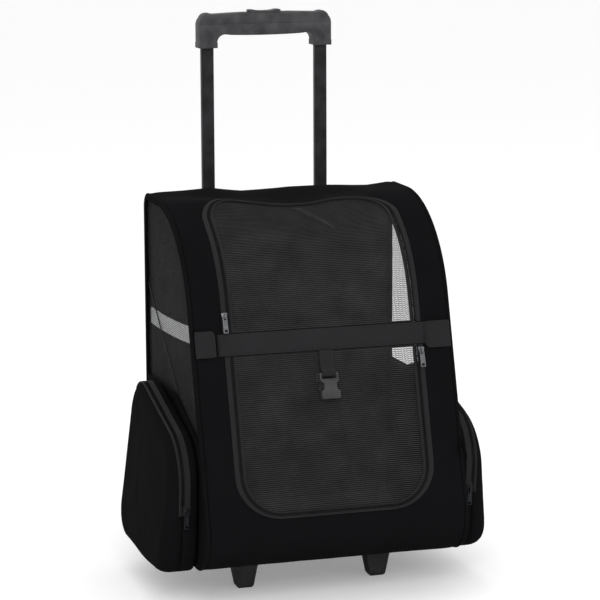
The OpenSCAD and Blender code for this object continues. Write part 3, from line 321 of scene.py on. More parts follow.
def woven(name, pitch, dark, light, roughness, sheen, depth, cross=1.0, specular=0.05):
    """Plain weave with threads pitch mm apart; cross is the weft's pitch over the warp's."""
    material, tree = new_material(name)
    place = add_node(tree, "ShaderNodeTexCoord")
    threads = add_node(tree, "ShaderNodeMapping", {"Vector": place.outputs["UV"],
        "Scale": (1 / (pitch * MM), 1 / (pitch * cross * MM), 1)})
    warp = add_node(tree, "ShaderNodeTexWave", {"Vector": threads.outputs[0], "Scale": WAVE_UNIT},
        bands_direction="X")
    weft = add_node(tree, "ShaderNodeTexWave", {"Vector": threads.outputs[0], "Scale": WAVE_UNIT},
        bands_direction="Y")
    over = add_node(tree, "ShaderNodeTexChecker", {"Vector": threads.outputs[0], "Scale": 1.0})
    height = add_node(tree, "ShaderNodeMix", {0: over.outputs["Fac"], 2: warp.outputs["Fac"],
        3: weft.outputs["Fac"]})
    faded = add_node(tree, "ShaderNodeTexNoise", {"Vector": place.outputs["Object"],
        "Scale": 1 / (FADE * MM), "Detail": 3.0})
    # the colour follows the fading and the threads' height: painted shade in the gaps, painted highlight on
    # the crowns
    fade_and_weave_shade = add_node(tree, "ShaderNodeMix", {0: 0.45, 2: height.outputs[0], 3: faded.outputs[0]})
    colour = add_node(tree, "ShaderNodeMix", {0: fade_and_weave_shade.outputs[0], 6: hex_colour(dark), 7: hex_colour(light)},
        data_type="RGBA")
    relief = add_node(tree, "ShaderNodeBump", {"Height": height.outputs[0], "Distance": depth * MM})
    shader = add_node(tree, "ShaderNodeBsdfPrincipled", {"Base Color": colour.outputs[2],
        "Roughness": roughness, "Specular IOR Level": specular, "Sheen Weight": sheen,
        "Sheen Roughness": 0.5, "Normal": relief.outputs[0]})
    add_node(tree, "ShaderNodeOutputMaterial", {"Surface": shader.outputs[0]})
    return material


# 600-denier polyester: matt, deep black, with almost no glint. Its threads are 0.5 mm apart and
# are drawn 1.3 mm apart so that they show; the other cloths are drawn coarser for that reason.
OXFORD = woven("oxford_polyester", 1.3, "#0b0b0c", "#171719", 0.9, 0.0, 0.12, specular=0.012)
# zip tape is ribbed along its length and reads a little greyer than the bag
TAPE = woven("woven_polyester_tape", 1.1, "#19191a", "#2f2f31", 0.8, 0.05, 0.15, cross=2.0)
# grosgrain binding has the same ribs, but is nearly as dark as the bag
BINDING = woven("grosgrain_binding", 1.1, "#0a0a0b", "#19191b", 0.85, 0.0, 0.15, cross=2.0, specular=0.01)
# webbing is thick and loosely woven from smooth yarn, so it has a soft shine across its threads
WEBBING = woven("polypropylene_webbing", 1.4, "#19191a", "#2d2d2f", 0.75, 0.05, 0.25, cross=1.6)
# undyed nylon webbing is off-white, the one pale thing in the bag
PALE_WEBBING = woven("pale_nylon_webbing", 1.4, "#cccecc", "#e9ebe9", 0.7, 0.1, 0.2, cross=1.6)
# a short pile scatters light at grazing angles, which sheen gives
PLUSH = woven("short_pile_fleece", 2.2, "#08080a", "#121214", 0.95, 0.05, 0.6)
print("woven:", [m.name for m in (OXFORD, TAPE, BINDING, WEBBING, PALE_WEBBING, PLUSH)])

# %% [markdown]
# ### Knitted mesh
# The doors and the side windows are a knitted polyester mesh. Ribs across it and finer upright
# threads leave most of it open, so the black inside shows through a dark grey veil. Real
# threads would be hundreds of thousands of faces. A brick pattern is the same staggered net,
# and its mortar, used as Alpha, leaves the holes open to light and to the eye.

# %% Mesh cloth
# real ribs are 1.3 mm apart; they are drawn twice as coarse so that they show
RIB_PITCH, UPRIGHT_PITCH, THREAD_SHARE = 2.6, 1.3, 0.22
UNEVEN = 35             # mm across the patches in which the mesh reads paler or darker


def knitted(name, thread, glint):
    """See-through mesh cloth with ribs across and threads up, staggered like bricks."""
    material, tree = new_material(name)
    place = add_node(tree, "ShaderNodeTexCoord")
    cells = add_node(tree, "ShaderNodeMapping", {"Vector": place.outputs["UV"],
        "Scale": (1 / (UPRIGHT_PITCH * MM), 1 / (RIB_PITCH * MM), 1)})
    net = add_node(tree, "ShaderNodeTexBrick", {"Vector": cells.outputs[0], "Scale": 1.0,
        "Mortar Size": THREAD_SHARE / 2, "Mortar Smooth": 0.0, "Brick Width": 1.0, "Row Height": 1.0})
    uneven = add_node(tree, "ShaderNodeTexNoise", {"Vector": place.outputs["Object"],
        "Scale": 1 / (UNEVEN * MM), "Detail": 2.0})
    colour = add_node(tree, "ShaderNodeMix", {0: uneven.outputs[0], 6: hex_colour(thread),
        7: hex_colour(glint)}, data_type="RGBA")
    shader = add_node(tree, "ShaderNodeBsdfPrincipled", {"Base Color": colour.outputs[2], "Roughness": 0.6,
        "Specular IOR Level": 0.02, "Alpha": net.outputs["Fac"]})
    add_node(tree, "ShaderNodeOutputMaterial", {"Surface": shader.outputs[0]})
    return material


MESH = knitted("knitted_mesh", "#2a2a2b", "#484849")
print("mesh is open for", round((1 - THREAD_SHARE) ** 2, 2), "of its area")

# %% [markdown]
# ### Moulded plastic and paint
# Grip, feet, buckle and wheels are injection moulded. The tool's sparked surface leaves a fine
# grain that breaks up the shine, and handling rubs the edges paler. One noise texture could
# tint the whole part, but edges would stay as dark as faces. Mixing slow noise with
# Pointiness lets the wear gather on the edges, and it also darkens hollows and inner corners
# as painted shade.

# %% Moulded finishes
# real spark grain is 0.1 to 0.2 mm across; it is drawn several times as coarse so that it shows
CLOUD = 18              # mm across the patches that handling has rubbed


def moulded(name, dark, light, roughness, grain_mm, depth, specular=0.25):
    """Injection-moulded plastic: a fine sparked grain, edges worn paler and painted shade in hollows."""
    material, tree = new_material(name)
    place = add_node(tree, "ShaderNodeTexCoord")
    grain = add_node(tree, "ShaderNodeTexNoise", {"Vector": place.outputs["Object"],
        "Scale": 1 / (grain_mm * MM), "Detail": 3.0})
    cloudy = add_node(tree, "ShaderNodeTexNoise", {"Vector": place.outputs["Object"],
        "Scale": 1 / (CLOUD * MM), "Detail": 3.0})
    edge = add_node(tree, "ShaderNodeNewGeometry")
    # Pointiness pales the convex edges as wear, and darkens hollows and inner corners as painted shade
    wear_and_hollow_shade = add_node(tree, "ShaderNodeMix", {0: 0.5, 2: cloudy.outputs[0], 3: edge.outputs["Pointiness"]})
    clear = add_node(tree, "ShaderNodeMapRange", {"Value": wear_and_hollow_shade.outputs[0],
        "From Min": 0.38, "From Max": 0.62})
    colour = add_node(tree, "ShaderNodeMix", {0: clear.outputs[0], 6: hex_colour(dark), 7: hex_colour(light)},
        data_type="RGBA")
    gloss = add_node(tree, "ShaderNodeMapRange", {"Value": grain.outputs[0], "To Min": roughness - 0.06,
        "To Max": roughness + 0.08})
    relief = add_node(tree, "ShaderNodeBump", {"Height": grain.outputs[0], "Distance": depth * MM})
    shader = add_node(tree, "ShaderNodeBsdfPrincipled", {"Base Color": colour.outputs[2],
        "Roughness": gloss.outputs[0], "Specular IOR Level": specular, "Normal": relief.outputs[0]})
    add_node(tree, "ShaderNodeOutputMaterial", {"Surface": shader.outputs[0]})
    return material


# ABS from a coarsely sparked tool: a leathery grain, and a grey bloom where hands hold it
GRIP_ABS = moulded("grained_abs", "#232325", "#444446", 0.5, 1.2, 0.16, specular=0.2)
# the same plastic from a smooth tool is satin
BUTTON_ABS = moulded("satin_abs", "#29292b", "#3a3a3c", 0.4, 0.6, 0.03)
# polypropylene looks slightly waxy and greyer than the cloth
FOOT_PP = moulded("moulded_polypropylene", "#202022", "#323234", 0.55, 1.0, 0.06)
# acetal is hard and slippery, so its highlights are small and clear
BUCKLE_POM = moulded("acetal", "#282829", "#3a3a3b", 0.42, 0.7, 0.03)
# a nylon zip coil is black thread as thick as fishing line, with only a faint glint
COIL = moulded("nylon_zip_coil", "#050506", "#0c0c0e", 0.6, 0.5, 0.02, specular=0.06)
# nylon hubs, a foamed tyre that is quite matt, and pressed fibreboard, which is duller still
HUB_NYLON = moulded("nylon_hub", "#2a2a2c", "#3a3a3c", 0.5, 0.8, 0.04)
TYRE_EVA = moulded("eva_tyre", "#0e0e0f", "#1a1a1b", 0.8, 1.2, 0.12, specular=0.15)
BOARD = moulded("black_fibreboard", "#121212", "#1d1d1d", 0.85, 3.0, 0.08, specular=0.1)
# powder coat hides the tube's metal: it is a satin paint with a faint orange peel
TUBE = moulded("powder_coated_tube", "#0e0e0f", "#2a2a2c", 0.34, 1.6, 0.02, specular=0.09)
print("moulded:", [m.name for m in (GRIP_ABS, FOOT_PP, BUCKLE_POM, TUBE)])

# %% [markdown]
# ### Bare metal
# The zip pulls are die-cast zinc and the latch is plated steel. A metal's colour is in its
# reflection, so it has no pattern of its own. What shows its age is fine scratches, and noise
# that is stretched along the part changes the gloss the way they do.

# %% Metals
# real scratches are far finer; they are drawn 1.5 mm apart, and eight times as long, to show
SCRATCH, SCRATCH_DRAW, SCRATCH_DEEP = 1.5, 0.12, 0.02


def metal(name, code, pale, roughness):
    """Metal with fine scratches along it that change its gloss."""
    material, tree = new_material(name)
    place = add_node(tree, "ShaderNodeTexCoord")
    drawn = add_node(tree, "ShaderNodeMapping", {"Vector": place.outputs["Object"],
        "Scale": (1, 1, SCRATCH_DRAW)})
    scratch = add_node(tree, "ShaderNodeTexNoise", {"Vector": drawn.outputs[0],
        "Scale": 1 / (SCRATCH * MM), "Detail": 4.0})
    colour = add_node(tree, "ShaderNodeMix", {0: scratch.outputs[0], 6: hex_colour(code),
        7: hex_colour(pale)}, data_type="RGBA")
    gloss = add_node(tree, "ShaderNodeMapRange", {"Value": scratch.outputs[0], "To Min": roughness - 0.08,
        "To Max": roughness + 0.12})
    relief = add_node(tree, "ShaderNodeBump", {"Height": scratch.outputs[0],
        "Distance": SCRATCH_DEEP * MM})
    shader = add_node(tree, "ShaderNodeBsdfPrincipled", {"Base Color": colour.outputs[2], "Metallic": 1.0,
        "Roughness": gloss.outputs[0], "Normal": relief.outputs[0]})
    add_node(tree, "ShaderNodeOutputMaterial", {"Surface": shader.outputs[0]})
    return material


# tumbled zinc is a soft mid grey
ZINC = metal("die_cast_zinc", "#505153", "#6c6d6f", 0.36)
# the pockets' small pulls are plated darker than the doors' pulls
DARK_ZINC = metal("gunmetal_zinc", "#222324", "#333436", 0.4)
# zinc plate on steel is paler and bluer
STEEL = metal("zinc_plated_steel", "#8c8e92", "#a6a8ac", 0.3)
# screws in the grip are blackened, so they show only as a dull glint
BLACK_STEEL = metal("blackened_steel", "#2e2f31", "#454648", 0.4)
print("materials:", len(bpy.data.materials))

# %% [markdown]
# ## Cutting cloth
# A sewing pattern is a flat outline. It could be filled with one large face, which can't bend,
# or triangulated, which bends unevenly. `cut_cloth` starts from a grid of even cells, throws
# away the ones outside and pulls the rim's points onto the outline, so the cloth bends
# smoothly and its edge is true.

# %% Cutting cloth
TRIM = 0.45             # a point less than this share of a cell outside is kept, and pulled in


def edge_of(outline, points):
    """For each point: whether it is inside the outline, and the outline's nearest point."""
    a = np.asarray(outline, float)
    b = np.roll(a, -1, 0)
    along = b - a
    inside = np.zeros(len(points), bool)
    best, near = np.full(len(points), 1e18), np.zeros((len(points), 2))
    for start, end, step in zip(a, b, along):
        crosses = (start[1] > points[:, 1]) != (end[1] > points[:, 1])
        level = np.divide(points[:, 1] - start[1], step[1] if step[1] else 1.0)
        inside ^= crosses & (points[:, 0] < start[0] + level * step[0])
        t = np.clip(((points - start) @ step) / max(step @ step, 1e-12), 0, 1)
        foot = start + t[:, None] * step
        distance = ((points - foot) ** 2).sum(1)
        closer = distance < best
        best[closer], near[closer] = distance[closer], foot[closer]
    return inside, near, np.sqrt(best)


def cut_cloth(outline, cell, holes=()):
    """A flat grid of cloth, in mm, trimmed to an outline and round holes."""
    outline = np.asarray(outline, float)
    low, high = outline.min(0), outline.max(0)
    counts = [max(2, int(round(d / cell))) for d in high - low]
    bm = bmesh.new()
    bmesh.ops.create_grid(bm, x_segments=counts[0], y_segments=counts[1], size=1)
    bmesh.ops.scale(bm, verts=bm.verts, vec=(*((high - low) / 2), 1))
    bmesh.ops.translate(bm, verts=bm.verts, vec=(*((high + low) / 2), 0))
    flat = np.array([v.co[:2] for v in bm.verts])
    inside, near, gap = edge_of(outline, flat)
    spare = ~inside & (gap > TRIM * cell)
    for hole in holes:
        inside, near, gap = edge_of(hole, flat)
        spare |= inside & (gap > TRIM * cell)
    bmesh.ops.delete(bm, geom=[v for v, s in zip(list(bm.verts), spare) if s], context="VERTS")
    bmesh.ops.delete(bm, geom=[v for v in bm.verts if not v.link_faces], context="VERTS")
    rim = [v for v in bm.verts if v.is_boundary]
    flat = np.array([v.co[:2] for v in rim])
    options = [edge_of(path, flat)[1:] for path in (outline, *holes)]
    for i, v in enumerate(rim):
        nearest = min(options, key=lambda o: o[1][i])
        v.co[:2] = nearest[0][i]
    return bm


sample = cut_cloth([(0, 0), (20, 0), (20, 10), (0, 10)], 5.0)
print("20 x 10 mm of cloth in 5 mm cells has", len(sample.faces), "faces")
sample.free()

# %% [markdown]
# ## Laying cloth
# `lay` moves each point of a cut from the table to the bag, and the flat cut stays in the UV
# map. A UV map could be unwrapped afterwards, but this one is exact, and the weave runs along
# the same threads as on the table. `make_piece` then turns the faces outward, gives the cloth
# its thickness, and ties the piece to the moving body and the CAD nodes that it stands for.

# %% Laying cloth and finishing a piece
BAG_MIDDLE = (0, 0, 0.28)       # in metres; the outside of a cloth faces away from it


def lay(bm, place):
    """Keeps the flat cut as the UV map, in metres, then moves each point to the
    bag."""
    corners = np.array([v.co[:2] for v in bm.verts]) * MM
    size = tuple(float(v) for v in corners.max(0) - corners.min(0))
    area = sum(face.calc_area() for face in bm.faces) * MM * MM
    cut = bm.loops.layers.uv.new("flat_cut")
    for face in bm.faces:
        for loop in face.loops:
            loop[cut].uv = loop.vert.co.xy * MM
    for v in bm.verts:
        v.co = place(v.co.x, v.co.y)
    return {"flat": size, "area": area}


def make_piece(name, bm, paint, body, nodes=(), thickness=0.0, middle=BAG_MIDDLE):
    """Turns a bmesh into a finished piece that rides on a body and stands for CAD nodes."""
    if middle is not None:
        bm.normal_update()
        outward = sum(f.normal.dot(f.calc_center_median() - Vector(middle)) * f.calc_area() for f in bm.faces)
        if outward < 0:
            bmesh.ops.reverse_faces(bm, faces=bm.faces)
    data = bpy.data.meshes.new(name)
    bm.to_mesh(data)
    bm.free()
    data.materials.append(paint)
    for polygon in data.polygons:
        polygon.use_smooth = True
    piece = bpy.data.objects.new(name, data)
    bpy.context.scene.collection.objects.link(piece)
    if thickness:
        wall = piece.modifiers.new("cloth_thickness", "SOLIDIFY")
        wall.thickness, wall.offset = thickness * MM, -1.0
    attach(piece, body)
    if nodes:
        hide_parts(*nodes)
    return piece


# %% [markdown]
# ## Tapes, straps and stitches
# Zip tape, binding and webbing have one section all along. A curve with a bevel could carry
# it, but the section would twist at tight corners. `sweep` bends a grid into a tube instead:
# one way runs along the path and the other round the section. A stitch is a small ball
# stretched along the thread; thousands of them show, so each has only twenty faces, and
# `scatter` repeats it.


# %% Sweeps
def sweep(steps, section, place, ring=False):
    """A band through steps places along a path. section is a closed list of (across, out)
    in mm, and place(i, across, out) gives a point of step i."""
    rows = len(section)
    bm = bmesh.new()
    bmesh.ops.create_grid(bm, x_segments=steps - (0 if ring else 1), y_segments=rows, size=1)
    columns = steps if ring else steps - 1
    cut = bm.loops.layers.uv.new("flat_cut")
    where = {}
    for v in bm.verts:
        where[v] = (round((v.co.x + 1) / 2 * columns), round((v.co.y + 1) / 2 * rows))
    spots = {v: place(i % steps, *section[j % rows]) for v, (i, j) in where.items()}
    middle = [place(i % steps, *section[0]) for i in range(columns + 1)]
    along = np.concatenate([[0], np.cumsum([(b - a).length for a, b in zip(middle, middle[1:])])])
    round_it = [0.0]
    for a, b in zip(section, [*section[1:], section[0]]):
        round_it.append(round_it[-1] + math.dist(a, b) * MM)
    for face in bm.faces:
        for loop in face.loops:
            i, j = where[loop.vert]
            loop[cut].uv = (round_it[j], along[i])
    for v, spot in spots.items():
        v.co = spot
    bmesh.ops.remove_doubles(bm, verts=bm.verts, dist=1e-6)
    bmesh.ops.holes_fill(bm, edges=[e for e in bm.edges if e.is_boundary], sides=0)
    bmesh.ops.recalc_face_normals(bm, faces=bm.faces)
    return bm


def rounded_bar(a0, a1, o0, o1, r, n=2):
    """A closed section from a0 to a1 across and o0 to o1 out, with round corners."""
    corners = [(a1 - r, o1 - r, 0), (a0 + r, o1 - r, 90), (a0 + r, o0 + r, 180), (a1 - r, o0 + r, 270)]
    points = []
    for a, o, turn in corners:
        for k in range(n + 1):
            t = math.radians(turn + 90 * k / n)
            points.append((a + r * math.cos(t), o + r * math.sin(t)))
    return points


def add_to(bm, other):
    """Adds the faces of another bmesh, with their flat cut, and frees it."""
    data = bpy.data.meshes.new("joined")
    other.to_mesh(data)
    other.free()
    bm.from_mesh(data)
    bpy.data.meshes.remove(data)


print("a rounded bar's section has", len(rounded_bar(-14, 14, 0, 2, 0.7)), "points")


# %% Stitches
def scatter(template, spots):
    """Copies a template bmesh to each matrix and frees it."""
    data = bpy.data.meshes.new("template")
    template.to_mesh(data)
    template.free()
    bm = bmesh.new()
    for spot in spots:
        known = len(bm.verts)
        bm.from_mesh(data)
        bm.verts.ensure_lookup_table()
        bmesh.ops.transform(bm, matrix=spot, verts=bm.verts[known:])
    bpy.data.meshes.remove(data)
    return bm


def spot_matrix(place, along, out):
    """A frame at a place: Y along the seam, Z out of the cloth."""
    z = out.normalized()
    y = (along - z * along.dot(z)).normalized()
    x = y.cross(z)
    return Matrix.Translation(place) @ Matrix((x, y, z)).transposed().to_4x4()


STITCH_SIZE = (0.55, 2.6, 0.45)      # width, length and height


def stitch():
    """One stitch: a small stretched ball, half sunk in the cloth."""
    bm = bmesh.new()
    bmesh.ops.create_icosphere(bm, subdivisions=1, radius=0.5)
    bmesh.ops.scale(bm, verts=bm.verts, vec=[size * MM for size in STITCH_SIZE])
    return bm


def stitch_row(points, outs, pitch):
    """Matrices for stitches every pitch mm along a line of points, in metres."""
    gaps = [(b - a).length for a, b in zip(points, points[1:])]
    at = np.concatenate([[0], np.cumsum(gaps)])
    spots = []
    for d in np.arange(pitch * MM / 2, at[-1], pitch * MM):
        k = min(len(points) - 2, int(np.searchsorted(at, d)) - 1)
        t = (d - at[k]) / max(gaps[k], 1e-9)
        place = points[k].lerp(points[k + 1], t)
        spots.append(spot_matrix(place, points[k + 1] - points[k], outs[k].lerp(outs[k + 1], t)))
    return spots


print("a stitch is", STITCH_SIZE[1], "mm long")

# %% [markdown]
# ## Doors and zips
# Both doorways are arches in the front cloth. The lower one could be drawn straight in x and s,
# and it is. The upper one runs over the crown, where such an arch would look squashed from the
# front, so its outline is drawn square to a plane that leans 45 degrees and is then carried to
# the cloth.

# %% Doorway outlines
RIM_STEP, CORNER_STEPS = 4, 19          # mm between straight steps, and steps of 5 degrees
DOOR_HALF, UPPER_R, UPPER_TOP = 125.0, 38.0, 373.4
LOWER_R, LOWER_DEPTH, STRAP_HALF = 52.0, 220.5, 14.0
LEANING = (profile[:, 0] + profile[:, 1]) / math.sqrt(2)


def door_rim_points(top, radius, sill):
    """(x, level, outward x, outward level) from the right end of the sill round to the left."""
    points = []
    side_steps = int((top - radius - sill) / RIM_STEP)
    for k in range(side_steps):
        points.append((DOOR_HALF, sill + (top - radius - sill) * k / side_steps, 1.0, 0.0))
    for k in range(CORNER_STEPS):
        t = math.radians(5 * k)
        points.append((DOOR_HALF - radius + radius * math.cos(t), top - radius + radius * math.sin(t),
            math.cos(t), math.sin(t)))
    top_steps = int((DOOR_HALF - radius) * 2 / RIM_STEP)
    for k in range(1, top_steps):
        points.append((DOOR_HALF - radius - 2 * (DOOR_HALF - radius) * k / top_steps, top, 0.0, 1.0))
    mirrored = [(-x, level, -nx, nl) for x, level, nx, nl in reversed(points[:side_steps + CORNER_STEPS])]
    return points + mirrored


SILL_GAP = 14.8         # from the strap's middle line to either door's straight edge
UPPER_SILL = float(np.interp(S_STRAP + SILL_GAP, run, LEANING))
UPPER_RIM = door_rim_points(UPPER_TOP, UPPER_R, UPPER_SILL)
LOWER_RIM = door_rim_points(LOWER_DEPTH, LOWER_R, SILL_GAP)


def upper_spot(i, grow, out=None):
    """(x, s) of step i of the upper doorway grown by grow mm, or its place out mm up."""
    x, level, nx, nl = UPPER_RIM[i]
    s = s_where(level + grow * nl, LEANING, S_TOE_END, S_BACK - 10)
    return (x + grow * nx, s) if out is None else on_bag(x + grow * nx, s, out)


def lower_spot(i, grow, out=None):
    """The same for the lower doorway, whose levels run down from the strap."""
    x, level, nx, nl = LOWER_RIM[i]
    s = S_STRAP - level - grow * nl
    return (x + grow * nx, s) if out is None else on_bag(x + grow * nx, s, out)


DOORS = {"upper": (UPPER_RIM, upper_spot, 1), "lower": (LOWER_RIM, lower_spot, -1)}
print("steps round the doors:", len(UPPER_RIM), len(LOWER_RIM))

# %% Front cloth with both doorways
HEM_UNDER_TAPE = 3.5    # mm of the cloth's cut edge that the zip tape hides
holes = [[spot(i, HEM_UNDER_TAPE) for i in range(len(rim))] for rim, spot, _ in DOORS.values()]
front = cut_cloth([(-BAG_X, 0), (BAG_X, 0), (BAG_X, S_BACK), (-BAG_X, S_BACK)], 4.0, holes)
facts = lay(front, on_bag)
piece = make_piece("front_cloth", front, OXFORD, "bag", ["front_panel"], thickness=2.6)
print("front cloth is", round(2 * BAG_X), "x", round(S_BACK), "mm flat")

# %% [markdown]
# ### The fold in the mesh
# The upper door is cut a little larger than its doorway, and the spare mesh lies over in one
# soft fold from the middle of its top. It could be drawn in the material, but then it would
# have no height or shadow. Here the mesh rises along a line, and a narrow strip lies on it,
# because mesh that is doubled is twice as dense and looks paler.

# %% The fold in the upper door's mesh
MESH_DEPTH, HEM_RISE = 1.4, 2.1         # mm under the pattern, and mm up to lie on the hem
FOLD_FROM, FOLD_TO = (-4.0, S_DOOR_TOP - 4), (40.0, S_DOOR_TOP - 64)
FOLD_HIGH, FOLD_WIDE, FOLD_STEPS = 4.5, 4.6, 30
FOLD_DX, FOLD_DS = FOLD_TO[0] - FOLD_FROM[0], FOLD_TO[1] - FOLD_FROM[1]
FOLD_LONG = math.hypot(FOLD_DX, FOLD_DS)


def net_depth(s):
    """The mesh lies under the rim's tape, but over the hem along the strap."""
    return -MESH_DEPTH + HEM_RISE * (1 - smooth(17.5, 23.0, abs(s - S_STRAP)))


def net_fold(x, s):
    """How far the mesh rises by its fold, which fades out at both ends."""
    x -= FOLD_FROM[0]
    s -= FOLD_FROM[1]
    along = (x * FOLD_DX + s * FOLD_DS) / FOLD_LONG
    off = (x * FOLD_DS - s * FOLD_DX) / FOLD_LONG
    ends = smooth(0, 14, along) * (1 - smooth(FOLD_LONG - 30, FOLD_LONG, along))
    return FOLD_HIGH * math.exp(-(off / FOLD_WIDE) ** 2) * ends


def fold_place(i, across, out):
    """A point of the strip where the mesh lies double along its fold, widest in the middle."""
    share = i / (FOLD_STEPS - 1)
    wide = across * math.sin(math.pi * (0.12 + 0.83 * share))
    x = FOLD_FROM[0] + FOLD_DX * share + wide * FOLD_DS / FOLD_LONG
    s = FOLD_FROM[1] + FOLD_DS * share - wide * FOLD_DX / FOLD_LONG
    return on_bag(x, s, out + net_depth(s) + net_fold(x, s))


print("fold is", round(FOLD_LONG), "mm long and", FOLD_HIGH, "mm high")

# %% [markdown]
# ### Tapes, rims, hems and mesh
# A zip is two tapes with teeth along their meeting edges: one is sewn to the bag and one is the
# door's rim. Each is a sweep of its real section, with a groove where the seam sinks in.
# Round the upper door's far end the tape is stretched and rolls under, so it shows less of its
# width; drawing the section in there is simpler than rolling it.

# %% Sections of the tapes, rims and hems
# sections are closed lists of (across, out) from the line where the teeth meet
TAPE_SECTION = [(8.8, -0.2), (8.8, 0.9), (8.4, 1.2), (6.2, 1.25), (5.8, 0.8), (5.4, 1.25), (4.0, 1.2),
    (3.5, 0.6), (0.3, 0.5), (0.3, -0.2)]
RIM_SECTION = [(-5.2, -0.6), (-0.1, -0.6), (-0.1, 0.5), (-2.6, 0.6), (-3.1, 1.2), (-4.9, 1.25), (-5.2, 0.9)]
HEM_SECTION = [(0.3, -0.6), (2.8, -0.6), (2.8, 0.1), (2.5, 0.3), (0.6, 0.3), (0.3, 0.1)]
HEM_STEPS, HEM_LINE = 61, 14.5
MESH_UNDER, MESH_FAR = 2.4, 0.6         # mm of mesh edge under the rim, and the share less at its far end
# the share of its width that the tape, then the rim, shows where it is stretched round a far end
FAR_SHARES = {"upper": (0.35, 0.35), "lower": (0.58, 0.7)}


def drawn_in(rim, spot, least):
    """The same places with the band drawn in to a share of its width at the door's far end."""
    return lambda i, across, out: spot(i, across * (1 - (1 - least) * rim[i][3] ** 2), out)


def door_hem_place(way):
    """The places of a door's straight hem along the strap; way is 1 above it and -1 below."""
    return lambda i, across, out: on_bag(-DOOR_HALF + 1 + (2 * DOOR_HALF - 2) * i / (HEM_STEPS - 1),
        S_STRAP + way * (HEM_LINE + across), out)


print("tape shows", TAPE_SECTION[0][0], "mm and rim", -RIM_SECTION[0][0], "mm beside the teeth")

# %% Zip tapes, door rims, hems and mesh
for kind, (rim, spot, way) in DOORS.items():
    body = f"{kind}_door"
    tape_share, rim_share = FAR_SHARES[kind]
    tape = sweep(len(rim), TAPE_SECTION, drawn_in(rim, spot, tape_share))
    make_piece(f"{kind}_tape_band", tape, TAPE, "bag", [f"{kind}_zip_tape"], middle=None)
    frame_band = sweep(len(rim), RIM_SECTION, drawn_in(rim, spot, rim_share))
    hem = sweep(HEM_STEPS, HEM_SECTION, door_hem_place(way))
    make_piece(f"{kind}_door_hem", hem, OXFORD, body, middle=None)
    make_piece(f"{kind}_door_band", frame_band, TAPE, body, [f"{kind}_door_rim"], middle=None)
    window = cut_cloth([spot(i, -MESH_UNDER * (1 - MESH_FAR * rim[i][3] ** 2)) for i in range(len(rim))], 4.0)
    facts = lay(window, lambda x, s: on_bag(x, s, net_depth(s) + net_fold(x, s)))
    net = make_piece(f"{kind}_door_net", window, MESH, body, [f"{kind}_door_mesh"])
    doubled = []
    if kind == "upper":
        fold = sweep(FOLD_STEPS, rounded_bar(-4.0, 4.0, 0.2, 0.5, 0.1, 1), fold_place)
        doubled = [make_piece("upper_door_fold", fold, MESH, body, middle=None)]
    print(kind, "door's mesh is", [round(v * 1000) for v in facts["flat"]], "mm flat")

# %% [markdown]
# ### Zip coils
# The teeth of a nylon zip are the turns of a coil: one row on the fixed tape and one on the
# door, each in the other's gaps. A curve could wind through the whole seam, but a row of low
# rounded bars looks the same from outside, opens with the door, and stays light. The rows
# leave room for the slider where it parks.

# %% Teeth, and even steps along a seam
# real teeth are 1.2 mm apart; they are drawn twice as coarse so that they show
TOOTH_PITCH = 2.5
TOOTH_SIZE, TOOTH_EDGE = (2.6, 1.2, 0.9), 0.3       # width, length and height, and its round edge
SLIDER_CLEAR = 7.0      # no fixed teeth nearer than this to the slider's middle
SLIDER_S = {"upper": S_STRAP + 36, "lower": S_STRAP - 24}


def tooth():
    """One turn of a nylon coil, seen as a low rounded bar across the seam."""
    bm = bmesh.new()
    bmesh.ops.create_cube(bm, size=1)
    bmesh.ops.scale(bm, verts=bm.verts, vec=[size * MM for size in TOOTH_SIZE])
    bmesh.ops.bevel(bm, geom=list(bm.edges), offset=TOOTH_EDGE * MM, offset_type="OFFSET", segments=1,
        profile=0.5, affect="EDGES", material=-1)
    return bm


def even_steps(points, pitch, start=0.0):
    """(index, share of the way to the next point) every pitch mm along points in metres."""
    at = np.concatenate([[0], np.cumsum([(b - a).length for a, b in zip(points, points[1:])])]) / MM
    steps = []
    for d in np.arange(start + pitch / 2, at[-1] - 0.5, pitch):
        i = min(len(points) - 2, max(0, int(np.searchsorted(at, d)) - 1))
        steps.append((i, (d - at[i]) / max(at[i + 1] - at[i], 1e-9)))
    return steps


def seam_frames(steps, spot, across, out, pitch, start=0.0, keep=None):
    """Matrices along a door seam, across mm from its edge and out mm above the cloth."""
    line = [spot(i, across, out) for i in range(steps)]
    above = [spot(i, across, out + 1.0) for i in range(steps)]
    frames = []
    for i, t in even_steps(line, pitch, start):
        place = line[i].lerp(line[i + 1], t)
        if keep is None or keep(place):
            frames.append(spot_matrix(place, line[i + 1] - line[i], above[i].lerp(above[i + 1], t) - place))
    return frames


print("a tooth is", TOOTH_SIZE[0], "mm wide and there is one every", TOOTH_PITCH, "mm")

